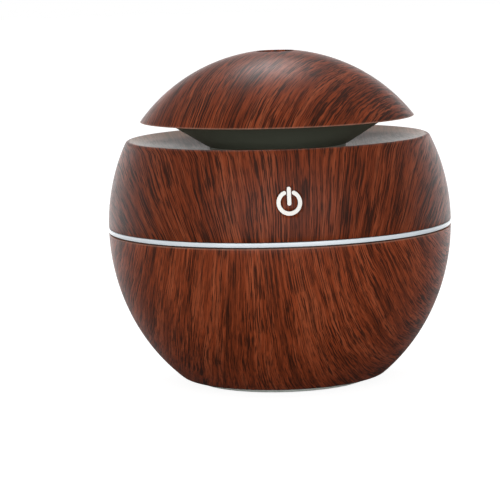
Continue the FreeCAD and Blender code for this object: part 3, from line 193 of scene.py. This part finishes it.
# The printed grain, all long in the film's Y: broad bands and streaks inside them for the ground, and
# over it dark ink in dashes, fine hairs and a few long veins.
printed_grain, grain_in, grain_out = effect(
    "printed_grain",
    [("Film", "Vector"), ("Deep", "Color"), ("Body", "Color"), ("Glow", "Color"), ("Line", "Color")],
    [("Color", "Color"), ("Lines", "Float")],
)


def drift(vector, scale, amount):
    """The vector pushed about by a slow noise."""
    noise = node(printed_grain, "TexNoise", {"Vector": vector, "Scale": scale, "Detail": 2.0})
    centred = node(printed_grain, "VectorMath", {0: noise.outputs["Color"], 1: (0.5, 0.5, 0.5)},
                   operation="SUBTRACT")
    push = node(printed_grain, "VectorMath", {0: centred.outputs[0], 1: amount}, operation="MULTIPLY")
    return node(printed_grain, "VectorMath", {0: vector, 1: push.outputs[0]}, operation="ADD").outputs[0]


def fibres(vector, across, along, detail, low, high):
    """A noise stretched along the grain, as a mask from 0 to 1. Sizes in millimetres."""
    squeezed = node(printed_grain, "VectorMath", {0: vector, 1: (1000 / across, 1000 / along, 1)},
                    operation="MULTIPLY")
    noise = node(printed_grain, "TexNoise", {"Vector": squeezed.outputs[0], "Scale": 1.0, "Detail": detail,
                                             "Roughness": 0.55})
    return node(printed_grain, "MapRange", {"Value": noise.outputs["Fac"], "From Min": low, "From Max": high},
                interpolation_type="SMOOTHSTEP").outputs[0]


def share(tree, value, part):
    """Part of a value."""
    return calc(tree, "MULTIPLY", value, part)


wavy = drift(drift(grain_in["Film"], 24.0, (0.005, 0.004, 0)), 140.0, (0.0007, 0.0006, 0))
bands = fibres(wavy, 8.0, 70.0, 3.0, 0.34, 0.66)
streaks = fibres(wavy, 1.3, 26.0, 4.0, 0.30, 0.70)
dashes = fibres(wavy, 0.42, 10.0, 2.0, 0.49, 0.56)
hairs = fibres(wavy, 0.27, 3.6, 1.0, 0.50, 0.60)
veins = fibres(wavy, 1.5, 60.0, 3.0, 0.56, 0.68)
crowds = fibres(wavy, 5.5, 26.0, 2.0, 0.38, 0.62)

ground = calc(printed_grain, "ADD", share(printed_grain, bands, 0.4), share(printed_grain, streaks, 0.6))
low_half = node(printed_grain, "MapRange", {"Value": ground, "From Min": 0.1, "From Max": 0.5}).outputs[0]
high_half = node(printed_grain, "MapRange", {"Value": ground, "From Min": 0.5, "From Max": 0.9}).outputs[0]
brown = mixed(printed_grain, low_half, grain_in["Deep"], grain_in["Body"])
brown = mixed(printed_grain, high_half, brown, grain_in["Glow"])

crowding = calc(printed_grain, "ADD", share(printed_grain, crowds, 0.6), 0.45)
thick = calc(printed_grain, "MULTIPLY", dashes, crowding)
dashed = calc(printed_grain, "ADD", thick, share(printed_grain, hairs, 0.45))
inked = calc(printed_grain, "ADD", dashed, share(printed_grain, veins, 0.6))
ink = calc(printed_grain, "MINIMUM", inked, 1.0)
inked_brown = mixed(printed_grain, share(printed_grain, ink, 0.88), brown, grain_in["Line"])
printed_grain.links.new(inked_brown, grain_out["Color"])
printed_grain.links.new(ink, grain_out["Lines"])

# A broken pale line is painted along a sharp edge as its highlight.
painted_edge_highlight, highlight_in, highlight_out = effect(
    "painted_edge_highlight", [("Place", "Vector"), ("Height", "Float"), ("Width", "Float")], [("Mask", "Float")]
)
edge_z = node(painted_edge_highlight, "SeparateXYZ", {"Vector": highlight_in["Place"]}).outputs["Z"]
off_edge = calc(painted_edge_highlight, "ABSOLUTE", calc(painted_edge_highlight, "SUBTRACT", edge_z, highlight_in["Height"]))
off_edge = calc(painted_edge_highlight, "MINIMUM", calc(painted_edge_highlight, "DIVIDE", off_edge, highlight_in["Width"]), 1.0)
broken = node(painted_edge_highlight, "TexNoise", {"Vector": highlight_in["Place"], "Scale": 260.0, "Detail": 2.0})
highlight_strength = calc(painted_edge_highlight, "MULTIPLY", calc(painted_edge_highlight, "SUBTRACT", 1.0, off_edge),
             calc(painted_edge_highlight, "ADD", broken.outputs["Fac"], 0.25))
painted_edge_highlight.links.new(highlight_strength, highlight_out["Mask"])

FILM_TONES = {
    "Deep": tone(91, 38, 17),
    "Body": tone(131, 57, 29),
    "Glow": tone(152, 75, 45),
    "Line": tone(34, 17, 9),
}
# Pale tone of the painted highlight along sharp edges.
EDGE_HIGHLIGHT_TONE = tone(176, 132, 112)
# Grey of the painted sheen on the deck, how far it turns the print there, and the width of its fade in
# millimetres.
DECK_SHEEN_TONE = tone(164, 142, 122)
EDGE_HIGHLIGHT_WIDTH = 0.35
DECK_SHEEN_SHARE = 0.5
DECK_SHEEN_FADE = 0.3
LACQUER_ROUGHNESS = 0.33


def wood_print(name, shoulder, draw, turn, shift, highlight_height, tint=1.0, sheen_within=0.0):
    """Water-transfer wood grain under satin lacquer. Inside a radius it is turned grey by a painted sheen
    that stands in for the deck's grazing reflection, and a pale line along an edge is painted as its
    highlight. The shoulder is the (radius, height) where the film turns down a wall, and draw is the length
    of film for each step down.
    Sizes are in millimetres, and the film's shift is in metres. The tint makes the print paler or darker."""
    material = bpy.data.materials.new(name)
    material.use_nodes = True
    tree = material.node_tree
    shader = tree.nodes["Principled BSDF"]
    place = node(tree, "TexCoord").outputs["Object"]
    film = use(tree, film_wrap, {
        "Place": place, "Shoulder radius": shoulder[0] * MM, "Shoulder height": shoulder[1] * MM,
        "Draw": draw, "Turn": math.radians(turn), "Shift": shift,
    })["Film"]
    grain = use(tree, printed_grain, {"Film": film, **FILM_TONES})
    # Painted highlight: a broken pale line is mixed in along the edge at the given height.
    edge = use(tree, painted_edge_highlight, {"Place": place, "Height": highlight_height * MM, "Width": EDGE_HIGHLIGHT_WIDTH * MM})
    tinted = node(tree, "VectorMath", {0: grain["Color"], "Scale": tint}, operation="SCALE").outputs[0]
    highlighted = mixed(tree, share(tree, edge["Mask"], 0.7), tinted, EDGE_HIGHLIGHT_TONE)
    # Painted sheen: inside that radius the print is turned grey as the deck's grazing reflection, and the
    # lacquer is made smoother.
    painted_deck_sheen = node(tree, "MapRange", {
        "Value": from_axis(tree, place), "From Min": (sheen_within - DECK_SHEEN_FADE) * MM,
        "From Max": (sheen_within + DECK_SHEEN_FADE) * MM, "To Min": DECK_SHEEN_SHARE, "To Max": 0.0,
    }).outputs[0]
    tree.links.new(mixed(tree, painted_deck_sheen, highlighted, DECK_SHEEN_TONE), shader.inputs["Base Color"])

    mottle = node(tree, "TexNoise", {"Vector": place, "Scale": 180.0, "Detail": 3.0}).outputs["Fac"]
    rough = calc(tree, "ADD", share(tree, mottle, 0.10), share(tree, grain["Lines"], 0.05))
    rough = calc(tree, "SUBTRACT", rough, share(tree, painted_deck_sheen, 0.12))
    tree.links.new(calc(tree, "ADD", rough, LACQUER_ROUGHNESS), shader.inputs["Roughness"])

    orange_peel = node(tree, "TexNoise", {"Vector": place, "Scale": 900.0, "Detail": 2.0}).outputs["Fac"]
    height = calc(tree, "ADD", share(tree, orange_peel, 0.5), share(tree, grain["Lines"], -0.35))
    bump = node(tree, "Bump", {"Height": height, "Strength": 0.22, "Distance": 0.00006})
    tree.links.new(bump.outputs["Normal"], shader.inputs["Normal"])
    shader.inputs["Specular IOR Level"].default_value = 0.12
    return material


def ball_height(radius, r):
    """Height of a ball of that radius about the dome's centre, where it is r from the axis."""
    return DOME_CENTRE_Z + math.sqrt(radius**2 - r**2)


def ball_line(radius, r_from, r_to, steps):
    """Points on the outline of a ball about the dome's centre, between two radii from the axis."""
    start, end = (math.asin(r / radius) for r in (r_from, r_to))
    turns = [start + (end - start) * k / steps for k in range(steps + 1)]
    return [(radius * math.sin(t), DOME_CENTRE_Z + radius * math.cos(t)) for t in turns]


dome = turned("dome_print", (
    ball_line(DOME_RADIUS, DOME_RIM_RADIUS, OUTLET_RADIUS, 36)
    + ball_line(DOME_RADIUS - DOME_WALL, OUTLET_RADIUS, SEAT_INNER_RADIUS, 24)
    + [(SEAT_RADIUS, SEAT_Z), (SEAT_RADIUS, DOME_RIM_Z)]
))
rounded(dome, OUTLET_RADIUS, ball_height(DOME_RADIUS, OUTLET_RADIUS), OUTLET_EDGE)
rounded(dome, SEAT_RADIUS, DOME_RIM_Z, SEAT_EDGE)
# The film lies flat over the whole dome, so its shoulder is out of reach.
dome_film = wood_print("wood_print_dome", shoulder=(1000.0, 0.0), draw=0.0, turn=32.0,
                       shift=(0.31, 0.12, 0), highlight_height=DOME_RIM_Z)
finished(dome, "lid", dome_film, "dome_cover")


# ------------------------------------------------------------------ funnel under the dome
# Dark grey-green satin moulding that snaps into the dome. Its cone sends drops back to the tank, and its
# straight skirt stands in the mouth of the body.
SKIRT_RADIUS = 19.9
SKIRT_FOOT_Z = 62.6
SKIRT_EDGE = 0.25
SKIRT_TOP_Z = 69.6
SKIRT_BORE_RADIUS = 18.3
SKIRT_BORE_TOP_Z = 70.06
LIP_RADIUS = 17.4
LIP_Z = 63.4
CONE_LOW_RADIUS = 20.6
CONE_HIGH_RADIUS = 33.2
CONE_INSIDE_RADIUS = 32.1
CONE_EDGE = 0.2
FLANGE_RADIUS = 36.9
FLANGE_LOW_Z = 77.4
FLANGE_HIGH_Z = SEAT_Z
FUNNEL_GREY = tone(108, 116, 102)

moulded_skin, skin_in, skin_out = effect(
    "moulded_skin",
    [("Place", "Vector"), ("Grain", "Float"), ("Color", "Color"), ("Rough", "Float")],
    [("Color", "Color"), ("Roughness", "Float"), ("Height", "Float")],
)
pits = node(moulded_skin, "TexNoise", {
    "Vector": skin_in["Place"], "Scale": skin_in["Grain"], "Detail": 3.0,
}).outputs["Fac"]
clouds = node(moulded_skin, "TexNoise", {"Vector": skin_in["Place"], "Scale": 70.0, "Detail": 3.0})
shade = calc(moulded_skin, "ADD", share(moulded_skin, clouds.outputs["Fac"], 0.30), 0.85)
shaded = node(moulded_skin, "VectorMath", {0: skin_in["Color"], "Scale": shade}, operation="SCALE").outputs[0]
moulded_skin.links.new(shaded, skin_out["Color"])
dull = share(moulded_skin, calc(moulded_skin, "SUBTRACT", pits, 0.5), 0.16)
moulded_skin.links.new(calc(moulded_skin, "ADD", skin_in["Rough"], dull), skin_out["Roughness"])
moulded_skin.links.new(pits, skin_out["Height"])


def moulded(name, colour, rough, grain=2600.0, bump=0.25, **constants):
    """Moulded plastic or rubber with a fine spark-eroded grain."""
    material = bpy.data.materials.new(name)
    material.use_nodes = True
    tree = material.node_tree
    shader = tree.nodes["Principled BSDF"]
    place = node(tree, "TexCoord").outputs["Object"]
    skin = use(tree, moulded_skin, {"Place": place, "Grain": grain, "Color": colour, "Rough": rough})
    tree.links.new(skin["Color"], shader.inputs["Base Color"])
    tree.links.new(skin["Roughness"], shader.inputs["Roughness"])
    raised = node(tree, "Bump", {"Height": skin["Height"], "Strength": bump, "Distance": 0.00005})
    tree.links.new(raised.outputs["Normal"], shader.inputs["Normal"])
    for socket, value in constants.items():
        shader.inputs[socket.replace("_", " ")].default_value = value
    return material


def slope(start, end, steps):
    """Points along a straight wall between two points of (radius, height)."""
    return [tuple(a + (b - a) * k / steps for a, b in zip(start, end)) for k in range(steps + 1)]


funnel = turned("funnel_cone", (
    [(FLANGE_RADIUS, FLANGE_LOW_Z), (FLANGE_RADIUS, FLANGE_HIGH_Z)]
    + slope((CONE_INSIDE_RADIUS, FLANGE_HIGH_Z), (SKIRT_BORE_RADIUS, SKIRT_BORE_TOP_Z), 2)
    + [(SKIRT_BORE_RADIUS, LIP_Z), (LIP_RADIUS, LIP_Z), (LIP_RADIUS, SKIRT_FOOT_Z),
       (SKIRT_RADIUS, SKIRT_FOOT_Z), (SKIRT_RADIUS, SKIRT_TOP_Z)]
    + slope((CONE_LOW_RADIUS, SKIRT_TOP_Z), (CONE_HIGH_RADIUS, FLANGE_LOW_Z), 3)
))
rounded(funnel, CONE_LOW_RADIUS, SKIRT_TOP_Z, CONE_EDGE)
rounded(funnel, SKIRT_RADIUS, SKIRT_FOOT_Z, SKIRT_EDGE)
finished(funnel, "lid", moulded("funnel_grey", FUNNEL_GREY, 0.48), "lid_funnel")


# ------------------------------------------------------------------ upper shell of the body
# Side wall and dished deck in one printed moulding. The rim is softly rounded, and the mouth in the middle
# of the deck takes the lid's skirt. A pocket in the front holds the power mark.
BODY_RADIUS = 50.0
WIDEST_Z = 46.5
SPAN_ABOVE = 53.5  # half height of the oval above its widest place
SPAN_BELOW = 55.2  # and below it
SHELL_WALL = 2.0
UPPER_FOOT_Z = 46.75
JOINT_EDGE = 0.15  # rounding of the shells along the light ring
RIM_Z = 71.9
RIM_EDGE = 1.04
MOUTH_RADIUS = 20.4
MOUTH_Z = 67.6
MOUTH_EDGE = 0.3
DECK_CURVE = 180.092  # radius of the ball that the deck is dished to
DECK_CURVE_Z = 246.533  # and the height of its centre
UNDER_DECK_RADIUS = 42.9
UNDER_DECK_Z = 69.2
POCKET_GAP = 0.07
# Radius inside which the deck carries the painted grey sheen.
DECK_SHEEN_RADIUS = 43.3


def oval(z, inset=0.0):
    """Radius of the body's oval at a height, in millimetres, taken in by inset."""
    span = (SPAN_ABOVE if z > WIDEST_Z else SPAN_BELOW) - inset
    return (BODY_RADIUS - inset) * math.sqrt(1 - ((z - WIDEST_Z) / span) ** 2)


def oval_line(z_from, z_to, steps, inset=0.0):
    """Points along the side wall between two heights, or along its inside."""
    heights = [z_from + (z_to - z_from) * k / steps for k in range(steps + 1)]
    return [(oval(z, inset), z) for z in heights]


def deck_line(r_from, r_to, steps, lowered=0.0):
    """Points along the dished deck, or along its underside."""
    radii = [r_from + (r_to - r_from) * k / steps for k in range(steps + 1)]
    return [(r, DECK_CURVE_Z - lowered - math.sqrt(DECK_CURVE**2 - r**2)) for r in radii]


def carve(piece, tool, operation="DIFFERENCE"):
    """Cuts the tool out of the piece, adds it or keeps what both hold, and removes the tool."""
    bpy.ops.object.select_all(action="DESELECT")
    bpy.context.view_layer.objects.active = piece
    piece.select_set(True)
    step = piece.modifiers.new("cut", "BOOLEAN")
    step.operation = operation
    step.solver = "EXACT"
    step.object = tool
    bpy.ops.object.modifier_apply(modifier=step.name)
    bpy.data.objects.remove(tool, do_unlink=True)


upper = turned("upper_print", (
    oval_line(UPPER_FOOT_Z, RIM_Z, 16)
    + deck_line(oval(RIM_Z), MOUTH_RADIUS, 12)[1:]
    + deck_line(MOUTH_RADIUS, UNDER_DECK_RADIUS, 8, SHELL_WALL)
    + oval_line(UNDER_DECK_Z, UPPER_FOOT_Z, 12, SHELL_WALL)
))
rounded(upper, oval(RIM_Z), RIM_Z, RIM_EDGE, steps=6)
rounded(upper, MOUTH_RADIUS, MOUTH_Z, MOUTH_EDGE)
rounded(upper, oval(UPPER_FOOT_Z), UPPER_FOOT_Z, JOINT_EDGE, steps=2)

# The pocket is cut with a slightly fatter copy of the mark.
bpy.ops.object.select_all(action="DESELECT")
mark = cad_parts["power_icon"]
cutter = mark.copy()
cutter.data = mark.data.copy()
bpy.context.collection.objects.link(cutter)
cutter.parent = None
bpy.context.view_layer.objects.active = cutter
cutter.select_set(True)
bpy.ops.object.mode_set(mode="EDIT")
bpy.ops.mesh.select_all(action="SELECT")
bpy.ops.mesh.remove_doubles(threshold=SAME_CORNER)
bpy.ops.transform.shrink_fatten(value=POCKET_GAP * MM)
bpy.ops.object.mode_set(mode="OBJECT")
carve(upper, cutter)

upper_film = wood_print("wood_print_upper", shoulder=(45.0, 71.0), draw=0.85, turn=0.0, shift=(0.0, 0.07, 0),
                        highlight_height=RIM_Z + 0.2, tint=0.9, sheen_within=DECK_SHEEN_RADIUS)
finished(upper, "housing", upper_film, "upper_shell")


# ------------------------------------------------------------------ power mark
# White two-shot inlay, flush in its pocket, over the touch sensor. It is the CAD piece with a satin finish.
def repaint(material, *nodes):
    """Gives CAD nodes that are shown as they are their material."""
    for name in nodes:
        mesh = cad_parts[name].data
        if not mesh.materials:
            mesh.materials.append(material)
        for index in range(len(mesh.materials)):
            mesh.materials[index] = material


repaint(moulded("mark_white", tone(252, 250, 244), 0.4, 1500.0, 0.1), "power_icon")


# ------------------------------------------------------------------ light ring
# Milky polycarbonate ring clamped between the two shells. Only its outer band shows. Its recessed faces are
# painted dark as shade, which gives the fine dark line of the joint under the band. It spreads the light of
# the lamps inside.
RING_INNER_RADIUS = 41.45
RING_JOINT_RADIUS = 48.85
RING_OUTER_RADIUS = 49.95
RING_LOW_Z = 45.0
RING_HIGH_Z = UPPER_FOOT_Z
BAND_LOW_Z = 45.4
BAND_HIGH_Z = 46.6
BAND_EDGE = 0.12
# The ring's faces in the recess are painted dark as shade, fully up to the first radius and fading out by the
# second.
RECESS_SHADE_FULL_RADIUS = 49.0
RECESS_SHADE_END_RADIUS = 49.5

band = turned("ring_diffuser", [
    (RING_INNER_RADIUS, RING_LOW_Z), (RING_JOINT_RADIUS, RING_LOW_Z), (RING_JOINT_RADIUS, BAND_LOW_Z),
    (RING_OUTER_RADIUS, BAND_LOW_Z), (RING_OUTER_RADIUS, BAND_HIGH_Z), (RING_JOINT_RADIUS, BAND_HIGH_Z),
    (RING_JOINT_RADIUS, RING_HIGH_Z), (RING_INNER_RADIUS, RING_HIGH_Z),
])
for band_z in (BAND_LOW_Z, BAND_HIGH_Z):
    rounded(band, RING_OUTER_RADIUS, band_z, BAND_EDGE, steps=2)
milky = moulded("ring_milky", tone(232, 240, 246), 0.38, 1800.0, 0.08, Coat_Weight=0.3, Coat_Roughness=0.15)
milky_tree = milky.node_tree
milky_place = milky_tree.nodes["Texture Coordinate"].outputs["Object"]
# Painted shade: inside the recess the milky colour is turned dark brown.
painted_recess_shade = node(milky_tree, "MapRange", {
    "Value": from_axis(milky_tree, milky_place), "From Min": RECESS_SHADE_FULL_RADIUS * MM,
    "From Max": RECESS_SHADE_END_RADIUS * MM, "To Min": 1.0, "To Max": 0.0,
}).outputs[0]
milky_with_painted_shade = mixed(milky_tree, painted_recess_shade, milky_tree.nodes["Group"].outputs["Color"], tone(46, 26, 20))
milky_tree.links.new(milky_with_painted_shade, milky_tree.nodes["Principled BSDF"].inputs["Base Color"])
finished(band, "housing", milky, "light_ring")


# ------------------------------------------------------------------ lower shell of the body
# Printed bowl, moulded in one. The base cover closes it from below, and the power socket sits in a round
# recess low at the back, in a boss that stands inwards from the wall.
BOWL_TOP_Z = RING_LOW_Z
BOWL_FOOT_Z = 1.8
BOWL_FOOT_EDGE = 1.05
BOWL_FLOOR_Z = 4.4
COVER_SEAT_Z = 3.0
COVER_HOLE_RADIUS = 24.3
COVER_SEAT_RADIUS = 25.7
SOCKET_Z = 17.0
BOSS_RADIUS = 6.6
BOSS_INNER_Y = 36.23
BOSS_OUTER_Y = 48.0
BOSS_INSET = 1.0  # keeps the boss inside the wall's outer face
RECESS_RADIUS = 5.0
RECESS_FLOOR_Y = 38.62
SOCKET_HOLE_RADIUS = 3.8
SOCKET_HOLE_Y = 30.0
OUTSIDE_Y = 60.0  # clear of the wall

lower = turned("lower_print", (
    oval_line(BOWL_FOOT_Z, BOWL_TOP_Z, 27)
    + oval_line(BOWL_TOP_Z, BOWL_FLOOR_Z, 20, SHELL_WALL)
    + [(COVER_HOLE_RADIUS, BOWL_FLOOR_Z), (COVER_HOLE_RADIUS, COVER_SEAT_Z),
       (COVER_SEAT_RADIUS, COVER_SEAT_Z), (COVER_SEAT_RADIUS, BOWL_FOOT_Z)]
))
rounded(lower, oval(BOWL_FOOT_Z), BOWL_FOOT_Z, BOWL_FOOT_EDGE, steps=5)
rounded(lower, oval(BOWL_TOP_Z), BOWL_TOP_Z, JOINT_EDGE, steps=2)


def bar(radius, y_from, y_to):
    """A plain round bar along Y at the socket's height, as a tool."""
    bpy.ops.object.select_all(action="DESELECT")
    bpy.ops.mesh.primitive_cylinder_add(
        vertices=96, radius=radius * MM, depth=(y_to - y_from) * MM,
        location=(0, (y_from + y_to) / 2 * MM, SOCKET_Z * MM), rotation=(math.pi / 2, 0, 0))
    tool = bpy.context.object
    bpy.ops.object.transform_apply(location=True, rotation=True)
    return tool


boss = bar(BOSS_RADIUS, BOSS_INNER_Y, BOSS_OUTER_Y)
boss_limit = turned("boss_limit", (
    oval_line(BOWL_FOOT_Z, BOWL_TOP_Z, 27, BOSS_INSET) + [(1.0, BOWL_TOP_Z), (1.0, BOWL_FOOT_Z)]
))
carve(boss, boss_limit, "INTERSECT")
carve(lower, boss, "UNION")
carve(lower, bar(RECESS_RADIUS, RECESS_FLOOR_Y, OUTSIDE_Y))
carve(lower, bar(SOCKET_HOLE_RADIUS, SOCKET_HOLE_Y, OUTSIDE_Y))
# The bowl is covered from its foot, so its film runs up the wall instead of down.
lower_film = wood_print("wood_print_lower", shoulder=(60.0, BOWL_FOOT_Z), draw=-0.8, turn=12.0,
                        shift=(0.145, 0.03, 0), highlight_height=BOWL_TOP_Z - 0.05, tint=1.22)
finished(lower, "housing", lower_film, "lower_shell")


# ------------------------------------------------------------------ base, inner parts and fasteners
# Everything that shows only from below, through the mouth or with the body opened keeps its CAD shape and
# gets its own finish.
repaint(moulded("base_grey", tone(230, 238, 230), 0.5), "base_cover")
repaint(moulded("pad_silicone", tone(196, 200, 196), 0.62, 900.0, 0.4), "foot_pads")
repaint(moulded("tank_white", tone(224, 226, 224), 0.34), "water_tank", "air_duct", "duct_hood", "post_frame",
        "socket_clamp", "transducer_retainer")
repaint(moulded("mouth_grey", FUNNEL_GREY, 0.5), "mouth_ring", "splash_baffle")
repaint(moulded("seal_silicone", tone(210, 212, 210), 0.6, 900.0, 0.4), "tank_gasket", "transducer_seal")
repaint(moulded("black_moulding", tone(30, 30, 31), 0.45), "fan_frame", "fan_rotor", "power_socket", "chips")
repaint(moulded("board_green", tone(24, 92, 52), 0.4, 700.0, 0.2), "main_board", "touch_board")
repaint(moulded("board_white", tone(232, 232, 228), 0.45, 700.0, 0.2), "light_board")
repaint(moulded("lamp_cream", tone(238, 228, 176), 0.3), "leds")
repaint(moulded("plug_white", tone(236, 234, 226), 0.4), "connectors")
repaint(moulded("ferrite_grey", tone(62, 62, 65), 0.6, 1200.0, 0.5), "inductor", "fan_magnet")
repaint(moulded("foam_grey", tone(84, 84, 88), 0.85, 700.0, 0.9), "touch_foam")
repaint(moulded("lead_red", tone(168, 30, 24), 0.42), "socket_leads", "fan_leads")
repaint(moulded("lead_black", tone(26, 26, 27), 0.42), "transducer_leads", "light_leads", "touch_lead")


def metal(name, colour, rough, drawn):
    """Bare metal with fine scratches. Drawn says how close they lie along X, Y and Z."""
    material = bpy.data.materials.new(name)
    material.use_nodes = True
    tree = material.node_tree
    shader = tree.nodes["Principled BSDF"]
    shader.inputs["Metallic"].default_value = 1.0
    place = node(tree, "TexCoord").outputs["Object"]
    stretched = node(tree, "Mapping", {"Vector": place, "Scale": drawn}).outputs[0]
    scratch = node(tree, "TexNoise", {"Vector": stretched, "Scale": 1.0, "Detail": 4.0}).outputs["Fac"]
    skin = use(tree, moulded_skin, {"Place": place, "Grain": 3000.0, "Color": colour, "Rough": rough})
    tree.links.new(skin["Color"], shader.inputs["Base Color"])
    scratched = calc(tree, "ADD", skin["Roughness"], share(tree, scratch, 0.12))
    tree.links.new(scratched, shader.inputs["Roughness"])
    raised = node(tree, "Bump", {"Height": scratch, "Strength": 0.2, "Distance": 0.00003})
    tree.links.new(raised.outputs["Normal"], shader.inputs["Normal"])
    return material


repaint(metal("screw_steel", tone(176, 176, 178), 0.3, (900, 900, 4000)), "base_screws",
        "socket_clamp_screws", "tank_screws", "retainer_screws", "board_screws", "touch_board_screws",
        "fan_screws", "fan_shaft")
repaint(metal("can_aluminium", tone(206, 206, 208), 0.28, (900, 900, 5000)), "capacitors")
repaint(metal("contact_brass", tone(206, 172, 96), 0.25, (3000, 600, 3000)), "socket_contacts", "fan_bearing")
repaint(metal("disc_plated", tone(196, 190, 172), 0.3, (1500, 1500, 600)), "transducer_disc")
repaint(metal("winding_copper", tone(190, 112, 66), 0.35, (2500, 2500, 900)), "fan_stator")


# ------------------------------------------------------------------ floor, light and camera
# A white studio table that holds a faint shadow, under one softbox above and behind the object and a large
# soft fill in front. Distances here are in metres.
PLAIN_WHITE = (1, 1, 1, 1)
FLOOR_GREY = (0.33, 0.33, 0.33, 1)
FLOOR_GLOW = 0.9
FAR_FLOOR_GLOSS = 2.2
WORLD_PLAIN = 0.42
WORLD_BEHIND = 1.6

bpy.ops.object.select_all(action="DESELECT")
bpy.ops.mesh.primitive_plane_add(size=6.0, location=(0, 0, 0))
floor = bpy.context.object
floor.name = "studio_floor"
table = bpy.data.materials.new("studio_white")
table.use_nodes = True
tree = table.node_tree
tree.nodes.clear()
matt = node(tree, "BsdfDiffuse", {"Color": FLOOR_GREY})
path = node(tree, "LightPath").outputs
# In the object's gloss the table brightens towards the back, as it would in front of a lit backdrop.
table_y = node(tree, "SeparateXYZ", {"Vector": node(tree, "TexCoord").outputs["Object"]}).outputs["Y"]
far_back = node(tree, "MapRange", {"Value": table_y, "From Min": 0.0, "From Max": 0.3,
                                   "To Max": FAR_FLOOR_GLOSS}).outputs[0]
in_gloss = calc(tree, "MULTIPLY", path["Is Glossy Ray"], far_back)
seen = calc(tree, "MAXIMUM", path["Is Camera Ray"], in_gloss)
glow = node(tree, "Emission", {"Color": PLAIN_WHITE, "Strength": share(tree, seen, FLOOR_GLOW)})
both = node(tree, "AddShader", {0: matt.outputs[0], 1: glow.outputs[0]})
node(tree, "OutputMaterial", {"Surface": both.outputs[0]})
floor.data.materials.append(table)

world = bpy.data.worlds.new("studio")
bpy.context.scene.world = world
world.use_nodes = True
tree = world.node_tree
tree.nodes.clear()
# The studio is brighter low down behind the object, and the camera sees plain white.
direction = node(tree, "SeparateXYZ", {"Vector": node(tree, "TexCoord").outputs["Generated"]}).outputs
behind = node(tree, "MapRange", {"Value": direction["Y"], "From Min": 0.0, "From Max": 0.9},
              interpolation_type="SMOOTHSTEP").outputs[0]
low = node(tree, "MapRange", {"Value": direction["Z"], "From Min": 0.12, "From Max": 0.36,
                              "To Min": 1.0, "To Max": 0.0}, interpolation_type="SMOOTHSTEP").outputs[0]
low_behind = share(tree, calc(tree, "MULTIPLY", behind, low), WORLD_BEHIND)
strength = calc(tree, "ADD", low_behind, WORLD_PLAIN)
around = node(tree, "Background", {"Color": PLAIN_WHITE, "Strength": strength})
white = node(tree, "Background", {"Color": PLAIN_WHITE, "Strength": 1.0})
path = node(tree, "LightPath").outputs
seen = calc(tree, "MAXIMUM", path["Is Camera Ray"], path["Is Transmission Ray"])
sky = node(tree, "MixShader", {0: seen, 1: around.outputs[0], 2: white.outputs[0]})
node(tree, "OutputWorld", {"Surface": sky.outputs[0]})


def softbox(name, place, aim, width, depth, power):
    """A rectangular area lamp that points from its place at its aim."""
    lamp = bpy.data.lights.new(name, "AREA")
    lamp.shape = "RECTANGLE"
    lamp.size, lamp.size_y, lamp.energy = width, depth, power
    holder = bpy.data.objects.new(name, lamp)
    bpy.context.collection.objects.link(holder)
    holder.location = place
    away = [a - p for a, p in zip(aim, place)]
    holder.rotation_euler = (math.atan2(math.hypot(away[0], away[1]), -away[2]), 0,
                             math.atan2(away[1], away[0]) - math.pi / 2)


softbox("overhead", place=(0.0, 0.48, 0.72), aim=(0, 0, 0.08), width=0.26, depth=0.2, power=2.5)
softbox("front_fill", place=(-0.1, -1.6, 0.36), aim=(0, 0, 0.05), width=2.6, depth=1.0, power=23.0)

SIDE, RISE, ROLL = (math.radians(angle) for angle in (-3.2, 6.6, 1.6))
DISTANCE = 0.7476
AIM = Vector((0, 0, 0.0485))
camera = bpy.data.cameras.new("camera")
camera.lens = 183.8
camera.sensor_width = 36.0
camera.clip_start, camera.clip_end = 0.05, 20.0
camera.shift_x, camera.shift_y = -0.0594, -0.0697
viewer = bpy.data.objects.new("camera", camera)
bpy.context.collection.objects.link(viewer)
viewer.location = AIM + DISTANCE * Vector((
    math.sin(SIDE) * math.cos(RISE), -math.cos(SIDE) * math.cos(RISE), math.sin(RISE)))
viewer.rotation_mode = "QUATERNION"
level = (AIM - viewer.location).to_track_quat("-Z", "Y")
viewer.rotation_quaternion = level @ Quaternion((0, 0, 1), -ROLL)
bpy.context.scene.camera = viewer
bpy.context.scene.view_settings.view_transform = "Standard"
